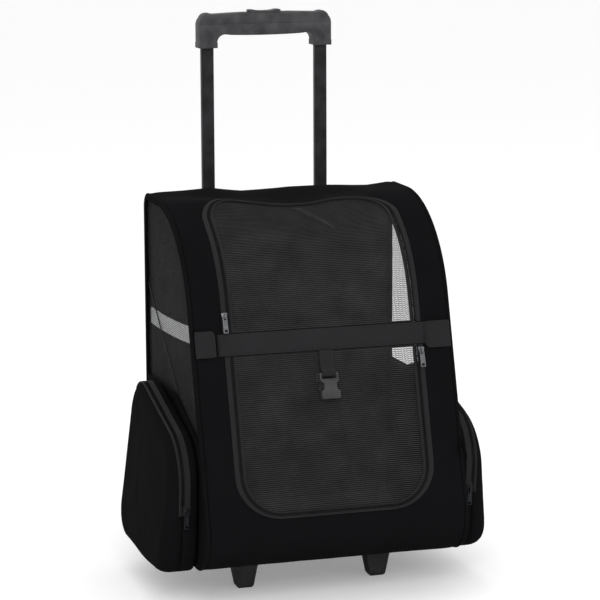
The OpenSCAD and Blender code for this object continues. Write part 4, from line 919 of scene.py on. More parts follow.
# %% Zip coils and their stitches
# where each row runs: (across, out) from the line where the teeth meet
FIXED_TEETH, DOOR_TEETH = (1.3, 0.8), (-0.9, 0.8)
TAPE_SEAM, RIM_SEAM, DOOR_STITCH = (7.7, 1.25), (-4.1, 1.25), 3.4
for kind, (rim, spot, _) in DOORS.items():
    side = -1 if kind == "upper" else 1
    count, door = len(rim), f"{kind}_door"
    park = on_bag(side * DOOR_HALF, SLIDER_S[kind])
    clear = lambda place: (place - park).length > SLIDER_CLEAR * MM
    fixed = seam_frames(count, spot, *FIXED_TEETH, TOOTH_PITCH, 0.0, clear)
    make_piece(f"{kind}_fixed_coil", scatter(tooth(), fixed), COIL, "bag", middle=None)
    moving = seam_frames(count, spot, *DOOR_TEETH, TOOTH_PITCH, TOOTH_PITCH / 2)
    make_piece(f"{kind}_door_coil", scatter(tooth(), moving), COIL, door, middle=None)
    outer = seam_frames(count, drawn_in(rim, spot, FAR_SHARES[kind][0]), *TAPE_SEAM, DOOR_STITCH)
    make_piece(f"{kind}_tape_stitches", scatter(stitch(), outer), TAPE, "bag", middle=None)
    inner = seam_frames(count, drawn_in(rim, spot, FAR_SHARES[kind][1]), *RIM_SEAM, DOOR_STITCH)
    make_piece(f"{kind}_door_stitches", scatter(stitch(), inner), TAPE, door, middle=None)
    print(kind, "zip has", len(fixed) + len(moving), "teeth and", len(outer) + len(inner), "stitches")

# %% [markdown]
# ## Sides
# Each side is a cloth panel below and a mesh window above, cut from one outline along a bent
# line. They could be one sheet with two materials, but mesh and cloth differ in thickness and
# are separate cuts in life too. The mesh is held against the panel's inner face, so it starts
# a little below the panel's upper edge.

# %% Side outline
# (y, z) along the window's lower edge, from the back to the front
WINDOW_EDGE = np.array([(135.0, 258.0), (-14.0, 261.0), (-135.0, 217.0), (-177.0, 178.0)])


def window_level(y):
    """Height of the window's lower edge at depth y."""
    return float(np.interp(y, WINDOW_EDGE[::-1, 0], WINDOW_EDGE[::-1, 1]))


def closed_ring(points, spacing):
    """The closed line through points, cut into even steps of about spacing mm."""
    closed = np.vstack([points, points[:1]])
    at = np.concatenate([[0], np.cumsum(np.hypot(*np.diff(closed, axis=0).T))])
    where = np.linspace(0, at[-1], int(at[-1] / spacing) + 1)[:-1]
    return np.stack([np.interp(where, at, closed[:, i]) for i in range(2)], 1)


def side_ring(inset, spacing=3.0):
    """The side's whole outline, set in by inset mm."""
    return closed_ring(np.vstack([profile[:-1, :2] - inset * profile[:-1, 2:],
        [[BACK_Y - inset, BASE_Z + inset]]]), spacing)


def part_of_side(keep_above, shift, inset):
    """Outline of the side above or below the window's edge, set in by inset mm."""
    ring = side_ring(inset)
    keep = np.array([(z > window_level(y) - shift) == keep_above for y, z in ring])
    start = int(np.argmax(keep & ~np.roll(keep, 1)))
    kept = np.roll(ring, -start, 0)[:int(keep.sum())]
    inner = WINDOW_EDGE[1:3] - [0, shift]
    return np.vstack([kept, inner if kept[-1][0] > 0 else inner[::-1]])


print("side outline has", len(side_ring(0.0)), "points")


# %% Side cloth and windows
def side_spot(side, y, z, base, swing, spread):
    """A place on a side, whose cloth waves by swing mm about its plane at base."""
    wave = noise.noise(Vector((y / spread[0], z / spread[1], spread[2])))
    return Vector((side * (base + swing * wave), y, z)) * MM


MESH_LAP, MESH_SET_BACK = 6.0, 3.8      # mesh behind the panel's upper edge, and behind its face
for name, side in (("left", -1), ("right", 1)):
    panel = cut_cloth(part_of_side(False, 0.0, 1.0), 5.0)
    facts = lay(panel, lambda y, z: side_spot(side, y, z, SIDE_X, 0.4, (60, 60, side)))
    panel = make_piece(f"side_cloth_{name}", panel, OXFORD, "bag", [f"side_panel_{name}"],
        thickness=2.6)
    net = cut_cloth(part_of_side(True, MESH_LAP, 3.3), 6.0)
    facts = lay(net, lambda y, z: side_spot(side, y, z, SIDE_X - MESH_SET_BACK, 1.2,
        (90, 70, 4 + side)))
    net = make_piece(f"side_net_{name}", net, MESH, "bag", [f"side_mesh_{name}"])
    print(name, "window is", [round(v * 1000) for v in facts["flat"]], "mm flat")

# %% [markdown]
# ### Bindings and hems
# A folded tape binds the raw edges where side and front strip meet, and a hem finishes each
# window's lower edge. A bevel on the panels would round the corner, but the binding stands
# proud of both and has its own seams, which draw the bag's edges. Each is a sweep with its
# grooves in the section and stitches laid in the grooves.

# %% Seam bindings, rolled over the edge between the sides and the front strip
SIDE_STITCH = 3.8
BINDING_SEAMS, BINDING_FACE = (2.6, 6.3), 176.25
# (mm inside the outline, distance x from the bag's middle)
BINDING_SECTION = [(8.0, 175.0), (8.0, 175.9), (7.5, 176.2), (5.1, 176.25), (4.6, 175.8), (4.1, 176.25),
    (0.9, 176.2), (-0.5, 175.6), (-1.0, 174.4), (-0.7, 172.9), (0.3, 172.0), (1.4, 172.0), (1.4, 175.0)]
binding_ring = side_ring(0.0, 4.0)
ahead, behind = np.roll(binding_ring, -1, 0), np.roll(binding_ring, 1, 0)
turned = ahead - behind
binding_out = np.stack([-turned[:, 1], turned[:, 0]], 1)
binding_out /= np.linalg.norm(binding_out, axis=1)[:, None]
binding = bmesh.new()
binding_spots = []
for side in (-1, 1):
    def binding_place(i, inset, x):
        """A point of the binding: inset mm inside the outline, at width x."""
        y, z = binding_ring[i] - inset * binding_out[i]
        return Vector((side * x, y, z)) * MM
    add_to(binding, sweep(len(binding_ring), BINDING_SECTION, binding_place, ring=True))
    for inset in BINDING_SEAMS:
        seam = [binding_place(i, inset, BINDING_FACE) for i in range(len(binding_ring))]
        binding_spots += stitch_row(seam, [Vector((side, 0, 0))] * len(seam), SIDE_STITCH)
make_piece("side_binding", binding, BINDING, "bag", ["side_bindings"], middle=None)
make_piece("binding_stitches", scatter(stitch(), binding_spots), BINDING, "bag", middle=None)
print("bindings have", len(binding_spots), "stitches")

# %% Hem along the lower edge of each window
# closed_ring wants a closed line, so the edge goes there and back, and only its first half is kept
hem_line = closed_ring(np.vstack([WINDOW_EDGE, WINDOW_EDGE[::-1] - [0, 0.001]]), 5.0)
hem_line = hem_line[:len(hem_line) // 2 + 1]
HEM_ENDS = (-168, BACK_Y - 8)           # the depths between which the hem shows
hem_line = hem_line[(hem_line[:, 0] < HEM_ENDS[1]) & (hem_line[:, 0] > HEM_ENDS[0])]
WINDOW_HEM, HEM_SEAMS, HEM_FACE = rounded_bar(-1.5, 8.5, 174.6, 175.8, 0.5), (0.4, 6.8), 175.85
hems = bmesh.new()
hem_spots = []
for side in (-1, 1):
    def hem_place(i, down, x):
        """A point of the hem, down mm below the window's edge."""
        return Vector((side * x, hem_line[i][0], hem_line[i][1] - down)) * MM
    add_to(hems, sweep(len(hem_line), WINDOW_HEM, hem_place))
    for down in HEM_SEAMS:
        hem_spots += stitch_row([hem_place(i, down, HEM_FACE) for i in range(len(hem_line))],
            [Vector((side, 0, 0))] * len(hem_line), SIDE_STITCH)
make_piece("window_hems", hems, OXFORD, "bag", middle=None)
make_piece("window_hem_stitches", scatter(stitch(), hem_spots), BINDING, "bag", middle=None)
print("hems have", len(hem_spots), "stitches")

# %% A narrow tape over the join of the two pieces of mesh in the left window
JOIN_LINE, JOIN_STEPS = [(129.0, 384.0), (-18.0, 264.0)], 41
JOIN_X = SIDE_X - 3.4


def join_place(i, across, out):
    """A point of the tape that runs down and forward over the mesh."""
    y, z = (a + (b - a) * i / (JOIN_STEPS - 1) for a, b in zip(*JOIN_LINE))
    return Vector((-(JOIN_X + out), y, z + across)) * MM


join = sweep(JOIN_STEPS, rounded_bar(-1.6, 1.6, 0.0, 1.0, 0.3), join_place)
make_piece("window_join", join, TAPE, "bag", middle=None)
print("join is", round(math.dist(*JOIN_LINE)), "mm long")

# %% [markdown]
# ## Back and base
# Both are plain rectangles that a stiff board holds flat, so each could be a single face. They
# are cut as a grid like the rest, because the back needs small waves beside the sleeve, and
# cloth that is dead flat reads as card.

# %% Back and base cloth
BACK_TOP, BACK_CELL = 487.0, 7.0


def back_spot(x, z):
    """A place on the back: it lies flat under the sleeve and waves a little beside it."""
    beside = smooth(112, 130, abs(x)) * smooth(0, 20, BAG_X - abs(x))
    return Vector((x, BACK_Y - 0.1 + 0.5 * beside * noise.noise(Vector((x / 50, z / 60, 6))), z)) * MM


back = cut_cloth([(-BAG_X, BASE_Z), (BAG_X, BASE_Z), (BAG_X, BACK_TOP), (-BAG_X, BACK_TOP)],
    BACK_CELL)
facts = lay(back, back_spot)
piece = make_piece("back_cloth", back, OXFORD, "bag", ["back_panel"], thickness=2.8)
base = cut_cloth([(-BAG_X, TOE[0]), (BAG_X, TOE[0]), (BAG_X, BACK_Y - 3),
    (-BAG_X, BACK_Y - 3)], BACK_CELL)
facts = lay(base, lambda x, y: Vector((x, y, BASE_Z + 0.1)) * MM)
piece = make_piece("base_cloth", base, OXFORD, "bag", ["base_panel"], thickness=2.7)
print("base cloth is", [round(v * 1000) for v in facts["flat"]], "mm flat")

# %% [markdown]
# ## Side pockets
# A pocket is a pouch: an outline of four arcs, a gusset all round and a face. It could be a
# bevelled box, but the shoulders of a filled pocket are fuller than a round bevel, and its
# cloth would have no pattern. The cover is cut larger than the pocket's face, because its rim
# folds down to make the outer gusset, and the tray's rim folds up in the same way. The zip
# runs where they meet.

# %% Pocket outline
POCKET_X, ZIP_PLANE = 176.5, 20.5
# depth y, height z, radius and how far the face stands off the side, for each corner
POCKET_ARCS = [(-72.0, 167.0, 62.0, 34.2), (-82.0, 86.0, 44.0, 51.0), (68.0, 89.0, 46.0, 44.9),
    (54.0, 217.0, 46.0, 37.2)]
corners = np.array(POCKET_ARCS)
across_face = np.stack([corners[:, 0], corners[:, 1], np.ones(4)], 1)
FACE_TILT = np.linalg.lstsq(across_face, corners[:, 3], rcond=None)[0]


def face_depth(y, z):
    """How far the pocket's face stands off the side: more at the foot, where it is filled."""
    return FACE_TILT[0] * y + FACE_TILT[1] * z + FACE_TILT[2]


def pocket_outline(spacing):
    """Even steps round the pocket, with outward normals: the hull of its four arcs."""
    spots = []
    for degree in range(360):
        n = np.array([math.cos(math.radians(degree)), math.sin(math.radians(degree))])
        y, z, r, _ = max(POCKET_ARCS, key=lambda c: c[0] * n[0] + c[1] * n[1] + c[2])
        spots.append([*(np.array([y, z]) + r * n), *n])
    spots = np.array(spots + spots[:1])
    at = np.concatenate([[0], np.cumsum(np.hypot(*np.diff(spots[:, :2], axis=0).T))])
    where = np.linspace(0, at[-1], int(at[-1] / spacing) + 1)[:-1]
    return np.stack([np.interp(where, at, spots[:, i]) for i in range(4)], 1)


POCKET_RING = pocket_outline(4.0)
GUSSET = 26.0            # cloth from the zip to the face at the deepest corner
print("pocket outline:", len(POCKET_RING), "steps")


# %% Folding a pouch
DROOP, DROOP_Y, DROOP_HALF = 4.5, -25, 45    # mm that the filled foot hangs below its pattern
DOME_HALF = 95.0


def fold_table(inset, height):
    """Arclengths and a flap's length for a fold given as (inset, height) points."""
    rise = np.diff(height) * (GUSSET if height[-1] > 0 else ZIP_PLANE)
    at = np.concatenate([[0], np.cumsum(np.hypot(np.diff(inset), rise))])
    return at, float(at[-1] - inset[-1])


def pouch(inset, height, dome, seed, cell=4.5):
    """A pouch half: cut to the outline plus its flap, and folded to (inset, height), where
    height 1 is the face. Gives the bmesh and each point's (height off the side, y, z)."""
    at, flap = fold_table(inset, height)
    points, normals = POCKET_RING[:, :2], POCKET_RING[:, 2:]
    bm = cut_cloth(points + flap * normals, cell)
    flat = np.array([v.co[:2] for v in bm.verts])
    inside, near, gap = edge_of(points, flat)
    outward = flat - near
    outward[inside] *= -1
    size = np.maximum(np.linalg.norm(outward, axis=1), 1e-6)
    outward /= size[:, None]
    depth = np.where(inside, gap, -gap) + flap
    new_inset, new_height = np.interp(depth, at, inset), np.interp(depth, at, height)
    moved = np.where((depth < at[-1])[:, None], near - new_inset[:, None] * outward, flat)
    centre = points.mean(0)
    spots = {}
    for v, (y, z), h, d in zip(bm.verts, moved, new_height, depth):
        middle = max(0.0, 1 - ((y - centre[0]) ** 2 + (z - centre[1]) ** 2) / DOME_HALF ** 2)
        crease = noise.noise(Vector((y / 46, z / 60, seed)))
        crease += 0.5 * noise.noise(Vector((y / 19, z / 33, seed + 3)))
        full = ZIP_PLANE + h * (face_depth(y, z) - 1.0 - ZIP_PLANE) if h > 0 else ZIP_PLANE + h * ZIP_PLANE
        z -= DROOP * max(0.0, h) * math.exp(-((y - DROOP_Y) / DROOP_HALF) ** 2) * smooth(0, 60, 112 - z)
        full += (dome * middle + crease) * smooth(flap + 2, flap + 30, d)
        spots[(v.co.x, v.co.y)] = Vector((full, y, z))
    return bm, spots


def superellipse(reach, low, high, power, steps=12):
    """(inset, height) of a rounded shoulder."""
    turn = np.linspace(0, math.pi / 2, steps)
    return reach * (1 - np.cos(turn) ** (2 / power)), low + (high - low) * np.sin(turn) ** (2 / power)


shoulder_in, shoulder_up = superellipse(20.0, 0.2, 1.0, 2.2)
print("the shoulder takes in", round(float(shoulder_in[-1])), "mm")

# %% Pocket covers and trays
# a fold is (mm inside the outline, height), where 1 is the face, 0 the zip and -1 the bag
COVER_FOLD = (np.concatenate([[0.0], shoulder_in]), np.concatenate([[0.01], shoulder_up]))
turn = np.linspace(0, math.pi / 2, 5)
TRAY_FOLD = (np.concatenate([[0.0], 3 - 3 * np.cos(turn)]),
    np.concatenate([[-0.01], -0.85 - 0.15 * np.sin(turn)]))
POCKET_MIDDLE, COVER_DOME = (-10.0, 150.0), 1.6
for name, side in (("left", -1), ("right", 1)):
    centre = Vector((side * (POCKET_X + 25), *POCKET_MIDDLE)) * MM
    for part, (fold, dome, body, node) in {
            "cover": (COVER_FOLD, COVER_DOME, f"pocket_cover_{name}", f"pocket_cover_{name}"),
            "tray": (TRAY_FOLD, 0.0, "bag", f"side_pocket_{name}")}.items():
        bm, spots = pouch(*fold, dome, 3.0 + side * 5)
        if part == "tray":
            for spot in spots.values():
                spot.x = max(spot.x, 0.0)
        facts = lay(bm, lambda u, v: Vector((side * (POCKET_X + spots[(u, v)].x), *spots[(u, v)].yz)) * MM)
        piece = make_piece(f"pocket_{part}_cloth_{name}", bm, OXFORD, body, [node],
            thickness=2.0, middle=centre)
        print(name, "pocket's", part, "is", [round(v * 1000) for v in facts["flat"]], "mm flat")

# %% [markdown]
# ### Pocket zips
# The zip runs over the front and the top of the gusset, where a hand reaches it. It is made
# like the door zips, from tapes, teeth and stitches that follow one line, and only the line
# differs. The outer tape and its teeth ride on the cover, and the inner ones stay on the bag.

# %% Pocket zips
# the zip starts at the front, a little above the foot, and goes up and over the top; these are
# the depths y and heights z of the line that it stays above
ZIP_ABOVE = ([-72, 54], [125, 247])
zip_steps = [i for i, (y, z, _, _) in enumerate(POCKET_RING) if z > np.interp(y, *ZIP_ABOVE)]
first = next(k for k, i in enumerate(zip_steps) if (i - 1) % len(POCKET_RING) not in zip_steps)
zip_steps = zip_steps[first:] + zip_steps[:first]
OUTER_TAPE = [(0.5, -0.3), (0.5, 0.5), (2.9, 0.6), (3.4, 1.2), (4.6, 1.2), (5.0, 0.8), (5.0, -0.3)]
INNER_TAPE = [(-0.5, -0.3), (-10.0, -0.3), (-10.0, 0.8), (-9.6, 1.2), (-6.0, 1.25), (-5.6, 0.8), (-5.2, 1.25),
    (-3.4, 1.2), (-2.9, 0.6), (-0.5, 0.5)]
POCKET_SLIDER, POCKET_CLEAR = (-131.0, 131.0), 9
POCKET_SEAMS, POCKET_STITCH, SEAM_OUT, TEETH_OUT = (-8.9, -4.4), 3.6, 1.25, 0.9


def pocket_spot(side, i, across, out):
    """A place on the gusset: across mm outboard of the zip and out mm above the cloth."""
    y, z, ny, nz = POCKET_RING[zip_steps[i]]
    return Vector((side * (POCKET_X + ZIP_PLANE + across), y + out * ny, z + out * nz)) * MM


for name, side in (("left", -1), ("right", 1)):
    cover = f"pocket_cover_{name}"
    spot = lambda i, across, out: pocket_spot(side, i, across, out)
    count = len(zip_steps)
    for part, section, body in (("outer", OUTER_TAPE, cover), ("inner", INNER_TAPE, "bag")):
        tape = sweep(count, section, spot)
        make_piece(f"pocket_{part}_tape_{name}", tape, TAPE, body, middle=None)
    park = Vector((side * (POCKET_X + ZIP_PLANE - 2), *POCKET_SLIDER)) * MM
    clear = lambda place: (place - park).length > POCKET_CLEAR * MM
    for part, across, start, body in (("outer", 1.0, 0.0, cover), ("inner", -1.2, 1.2, "bag")):
        frames = seam_frames(count, spot, across, TEETH_OUT, TOOTH_PITCH, start, clear)
        coil = scatter(tooth(), frames)
        make_piece(f"pocket_{part}_coil_{name}", coil, COIL, body, middle=None)
    rows = [seam_frames(count, spot, across, SEAM_OUT, POCKET_STITCH) for across in POCKET_SEAMS]
    seams = scatter(stitch(), rows[0] + rows[1])
    make_piece(f"pocket_inner_stitches_{name}", seams, TAPE, "bag", middle=None)
    print(name, "pocket's zip has", len(rows[0] + rows[1]), "stitches")

# %% [markdown]
# ## Straps
# Flat webbing keeps its width and bends only where it is folded. A cloth simulation would
# make it limp, so each strap is a sweep of its thin, round-edged section. The front strap
# holds the doors' straight edges together. It is one length of webbing from side seam to side
# seam, it dips where it is tucked beside its left end, and a wider patch covers each end.

# %% Front strap
STRAP_SECTION = rounded_bar(-STRAP_HALF, STRAP_HALF, 0.3, 2.3, 0.7, 2)
STRAP_STEPS, STRAP_STITCH, STRAP_FACE = 230, 3.6, 2.3
STRAP_SEAMS = (-11.6, 11.6)
TUCK_X, TUCK_DEEP, TUCK_HALF = -143.0, 3.4, 2.4


def strap_place(i, up, out):
    """A point of the strap, up mm above its middle line."""
    x = BAG_X * (2 * i / (STRAP_STEPS - 1) - 1)
    ease = 0.25 * noise.noise(Vector((x / 40, up / 30, 1.5)))
    tucked = TUCK_DEEP * math.exp(-((x - TUCK_X) / TUCK_HALF) ** 2)
    return on_bag(x, S_STRAP + up, out + max(0.0, ease) - tucked)


make_piece("strap_webbing", sweep(STRAP_STEPS, STRAP_SECTION, strap_place), WEBBING, "bag",
    ["front_strap"], middle=None)
strap_out = on_bag(0, S_STRAP, 1) - on_bag(0, S_STRAP)
strap_spots = []
for up in STRAP_SEAMS:
    line = [strap_place(i, up, STRAP_FACE) for i in range(STRAP_STEPS)]
    strap_spots += stitch_row(line, [strap_out] * STRAP_STEPS, STRAP_STITCH)
print("strap is", round(2 * BAG_X), "mm long with", len(strap_spots), "stitches")

# %% End patches
# (outer x, inner x, lowest, highest) in mm from the strap's middle
PATCH_STEPS, PATCH_SEAM, PATCH_FACE, PATCH_EDGE = 24, 21, 4.1, 2.4
END_PATCHES = {"left": (-BAG_X, -145.5, -15.0, 19.0), "right": (BAG_X, 137.0, -20.5, 14.5)}
patches = bmesh.new()
for outer, inner, low, high in END_PATCHES.values():
    middle = (low + high) / 2
    half = (high - low) / 2

    def patch_place(i, up, out):
        """A point of the patch, whose inner corners are rounded."""
        share = i / (PATCH_STEPS - 1)
        corner = 1 - 0.32 * max(0.0, (share - 0.8) / 0.2) ** 3
        return on_bag(outer + (inner - outer) * share, S_STRAP + middle + up * corner, out)
    section = rounded_bar(-half, half, STRAP_FACE, PATCH_FACE, 0.6, 2)
    add_to(patches, sweep(PATCH_STEPS, section, patch_place))
    seams = [[patch_place(i, up, PATCH_FACE) for i in range(PATCH_SEAM + 1)]
        for up in (PATCH_EDGE - half, half - PATCH_EDGE)]
    seams.append([patch_place(PATCH_SEAM, -half + 3 + (2 * half - 6) * k / 9, PATCH_FACE)
        for k in range(10)])
    for seam in seams:
        strap_spots += stitch_row(seam, [strap_out] * len(seam), STRAP_STITCH)
make_piece("strap_end_patches", patches, WEBBING, "bag", middle=None)
make_piece("strap_stitches", scatter(stitch(), strap_spots), WEBBING, "bag", middle=None)
print("strap and patches have", len(strap_spots), "stitches")

# %% [markdown]
# ### Buckle tabs
# Two short tabs carry the buckle: one loops through the socket's bar outside and rides on the
# lower door, and one hangs inside. A loop is the same webbing seen from its edge, so its
# section, drawn as (up, out) with its turns, is swept straight across the strap.

# %% Buckle tabs
TAB_HALF, TAB_STEPS = 9.0, 9
TAB_LOOP = [(-14.5, 1.5), (-14.5, 3.1), (-30.0, 3.2), (-37.0, 3.3), (-39.8, 6.4), (-41.4, 9.2), (-42.3, 10.6),
    (-44.0, 10.9), (-47.6, 10.9), (-48.7, 10.2), (-48.9, 8.8), (-48.9, 2.0), (-48.4, 0.7), (-47.3, 0.6),
    (-47.3, 9.3), (-43.1, 9.3), (-41.5, 7.0), (-39.6, 1.6)]


def across_strap(half, section):
    """A sweep across the strap from -half to half of a section given as (up, out)."""
    return sweep(TAB_STEPS, section, lambda i, up, out: on_bag(
        -half + 2 * half * i / (TAB_STEPS - 1), S_STRAP + up, out))


make_piece("buckle_loop", across_strap(TAB_HALF, TAB_LOOP), WEBBING, "lower_door",
    ["buckle_tab"], middle=None)
INNER_TAB = [(-43.6, -3.4), (13.8, -3.4), (14.0, -3.8), (13.8, -5.2), (-43.6, -5.2), (-43.8, -4.2)]
make_piece("inner_loop", across_strap(TAB_HALF, INNER_TAB), WEBBING, "bag", ["inner_tab"],
    middle=None)
print("tabs are", 2 * TAB_HALF, "mm wide")

# %% [markdown]
# ### Tether
# A pale strap inside the left window clips to the pet's collar. It is seen only through the
# mesh, so a plain sweep with a slight sag is all it needs.

# %% Tether webbing inside the left window
TETHER, TETHER_X = [(-95.0, 352.0), (127.4, 340.0)], -169.4
TETHER_STEPS, TETHER_SAG = 40, 3.0


def tether_place(i, up, out):
    """A point of the tether, which hangs lowest at its middle."""
    share = i / (TETHER_STEPS - 1)
    y = TETHER[0][0] + share * (TETHER[1][0] - TETHER[0][0])
    z = TETHER[0][1] + share * (TETHER[1][1] - TETHER[0][1]) - 4 * TETHER_SAG * share * (1 - share)
    return Vector((TETHER_X + out, y, z + up)) * MM


tether = sweep(TETHER_STEPS, rounded_bar(-11.0, 11.0, -0.9, 0.9, 0.6), tether_place)
make_piece("tether_webbing", tether, PALE_WEBBING, "bag", ["tether_strap"], middle=None)
print("tether is", round(math.dist(*TETHER)), "mm long")

# %% [markdown]
# ## Sleeve over the tubes
# The sleeve is one sheet, sewn down at both sides of the back, that hides the handle's tubes.
# Two tubes could each have a sleeve, but one wide sheet is cheaper to sew and is what such
# carriers have. It is cut flat, folded round its two long corners, and sinks a little between
# the tubes, where nothing holds it off.

# %% Sleeve
SLEEVE_HALF, SLEEVE_Y, SLEEVE_LOW, SLEEVE_HIGH, SLEEVE_R = 106.0, 172.0, 53.5, 490.0, 10.0
SLEEVE_SINK = 2.2


def sleeve_section():
    """Points of the sleeve's outside from its left seam round to its right one."""
    corner = [math.radians(a) for a in range(0, 91, 15)]
    x0, y0 = SLEEVE_HALF - SLEEVE_R, SLEEVE_Y - SLEEVE_R
    right = [(x0 + SLEEVE_R * math.cos(a), y0 + SLEEVE_R * math.sin(a)) for a in corner]
    side = [(SLEEVE_HALF, BACK_Y + 0.4), (SLEEVE_HALF, BACK_Y + 7), (SLEEVE_HALF, BACK_Y + 14)]
    flat = [(x, SLEEVE_Y) for x in range(90, -1, -6)]
    half = side + right + flat
    return [(-x, y) for x, y in half] + half[::-1][1:]


SLEEVE_CURVE = np.array(sleeve_section())
sleeve_run = np.concatenate([[0], np.cumsum(np.hypot(*np.diff(SLEEVE_CURVE, axis=0).T))])
sleeve_w = sleeve_run[-1]
sleeve = cut_cloth([(0, SLEEVE_LOW), (sleeve_w, SLEEVE_LOW), (sleeve_w, SLEEVE_HIGH), (0, SLEEVE_HIGH)], 5.0)


def sleeve_place(u, z):
    """The sleeve stands off a little over the tubes and sinks between them."""
    x, y = np.interp(u, sleeve_run, SLEEVE_CURVE[:, 0]), np.interp(u, sleeve_run, SLEEVE_CURVE[:, 1])
    free = smooth(BACK_Y + 15, SLEEVE_Y, y)
    sink = SLEEVE_SINK * math.cos(min(math.pi / 2, abs(x) / 70 * math.pi / 2)) * smooth(SLEEVE_LOW, 120, z)
    wrinkle = 0.8 * noise.noise(Vector((x / 30, z / 55, 12)))
    return Vector((x, y + free * (min(0.6, wrinkle) - sink * (1 - smooth(440, 485, z))), z)) * MM


facts = lay(sleeve, sleeve_place)
piece = make_piece("tube_sleeve", sleeve, OXFORD, "bag", ["back_sleeve"], thickness=2.0)
print("sleeve is", round(sleeve_run[-1]), "mm wide flat")

# %% [markdown]
# ## Mat
# The mat is a thin pad of fleece over wadding, quilted in squares. Its squares could be raised
# by a formula alone, but filling pushes cloth out evenly and it wrinkles towards the seams,
# which a short simulation finds by itself. The slab starts a little smaller than the mat, a
# voxel remesh gives it even faces, and inside pressure swells it while the seams are held.


# %% Inflating a padded piece
CLOTH_TENSION, CLOTH_QUALITY = 5.0, 4       # soft cloth, so that a thin pad can swell


def inflate(piece, held, pressure, frames, cap):
    """A short cloth simulation from inside pressure. The held points stay where they are, no
    point moves more than cap mm, and the last shape is kept without the simulation."""
    start = [v.co.copy() for v in piece.data.vertices]
    piece.vertex_groups.new(name="held").add(held, 1.0, "REPLACE")
    cloth = piece.modifiers.new("swell", "CLOTH")
    cloth.settings.vertex_group_mass = "held"
    cloth.settings.use_pressure = True
    cloth.settings.uniform_pressure_force = pressure
    cloth.settings.effector_weights.gravity = 0.0
    cloth.settings.tension_stiffness = CLOTH_TENSION
    cloth.settings.quality = CLOTH_QUALITY
    cloth.collision_settings.use_collision = False
    cloth.point_cache.frame_start = 1
    cloth.point_cache.frame_end = frames
    for step in range(1, frames + 1):
        bpy.context.scene.frame_set(step)
    swollen = piece.evaluated_get(bpy.context.evaluated_depsgraph_get()).data
    ends = [v.co.copy() for v in swollen.vertices]
    piece.modifiers.remove(cloth)
    piece.vertex_groups.clear()
    bpy.context.scene.frame_set(1)
    for v, a, b in zip(piece.data.vertices, start, ends):
        step = b - a
        v.co = a + step * min(1.0, cap * MM / max(step.length, 1e-9))
    return max((b - a).length for a, b in zip(start, ends)) / MM


print("padding is simulated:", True)

# %% Mat: a slab quilted in four by three squares, then swollen between its seams
mat_low, mat_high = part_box("pet_mat")
mat_size, mat_mid = mat_high - mat_low, (mat_high + mat_low) / 2
QUILT = (4, 3)
MAT_WIDE, MAT_THICK, MAT_CUTS = 0.985, 0.85, 27     # the slab's share of the mat, and its cells


def seam_share(u, w):
    """0 on a quilting seam and 1 in the middle of a square, for u and w from -1 to 1."""
    rows = [abs(math.sin(math.pi * n / 2 * (t + 1))) for n, t in zip(QUILT, (u, w))]
    return rows[0] ** 0.35 * rows[1] ** 0.35


mat = bmesh.new()
bmesh.ops.create_cube(mat, size=1)
bmesh.ops.subdivide_edges(mat, edges=mat.edges, cuts=MAT_CUTS, use_grid_fill=True)
for v in mat.verts:
    # u and w run across the mat and h up it; it thins towards its rim and its seams, and its
    # corners are rounded
    u, w, h = (2 * c for c in v.co)
    swell = (1 - max(abs(u), abs(w)) ** 8) ** 0.5
    tall = MAT_THICK * h * (0.30 + 0.70 * swell * (0.72 + 0.28 * seam_share(u, w)))
    round_u, round_w = u * math.sqrt(1 - 0.03 * w ** 6), w * math.sqrt(1 - 0.03 * u ** 6)
    v.co = (mat_mid.x + MAT_WIDE * round_u * mat_size.x / 2,
        mat_mid.y + MAT_WIDE * round_w * mat_size.y / 2, max(mat_low.z, mat_mid.z + tall * mat_size.z / 2))
mat_piece = make_piece("mat_pad", mat, PLUSH, "bag", ["pet_mat"], middle=mat_mid)
print("slab has", len(mat_piece.data.polygons), "faces")

# %% Swelling the mat
VOXEL, SEAM_HELD, RIM_HELD = 5, 0.42, 0.95
with bpy.context.temp_override(object=mat_piece, active_object=mat_piece, selected_objects=[mat_piece]):
    mat_piece.data.remesh_voxel_size = VOXEL * MM
    bpy.ops.object.voxel_remesh()
held = []
for v in mat_piece.data.vertices:
    u = 2 * (v.co.x - mat_mid.x) / mat_size.x
    w = 2 * (v.co.y - mat_mid.y) / mat_size.y
    if seam_share(u, w) < SEAM_HELD or max(abs(u), abs(w)) > RIM_HELD or v.co.z < mat_low.z + 1 * MM:
        held.append(v.index)
moved = inflate(mat_piece, held, pressure=10.0, frames=20, cap=5.0)
print("mat swelled by", round(moved, 1), "mm with", len(held), "points held")

# %% The mat's flat cut and a finer surface
# remeshing dropped the UV map, so the weave gets it again, seen from above
mat = bmesh.new()
mat.from_mesh(mat_piece.data)
cut = mat.loops.layers.uv.get("flat_cut") or mat.loops.layers.uv.new("flat_cut")
for v in mat.verts:
    v.co = [min(max(c, a), b) for c, a, b in zip(v.co, mat_low, mat_high)]
for face in mat.faces:
    for loop in face.loops:
        loop[cut].uv = loop.vert.co.xy
mat.to_mesh(mat_piece.data)
mat.free()
for polygon in mat_piece.data.polygons:
    polygon.use_smooth = True
finer = mat_piece.modifiers.new("finer", "SUBSURF")
finer.levels = finer.render_levels = 1
print("mat has", len(mat_piece.data.polygons), "faces")

# %% [markdown]
# ## Hard parts
# Moulded and cast parts never have knife edges: a mould leaves a small radius, and it catches
# the light as a thin bright line. A part could be modelled again, but its CAD solid is already
# exact. So each one is copied, its triangles are joined to flat faces again, and its sharp
# edges get the radius with a bevel.


# %% Rounding a copy of a solid
PULL_SHARE = 0.84       # a pull's size over its CAD solid's
SHARP_ANGLE, SMOOTH_ANGLE, FLAT_ANGLE, BEVEL_STEPS = 32.0, 40, 0.8, 2


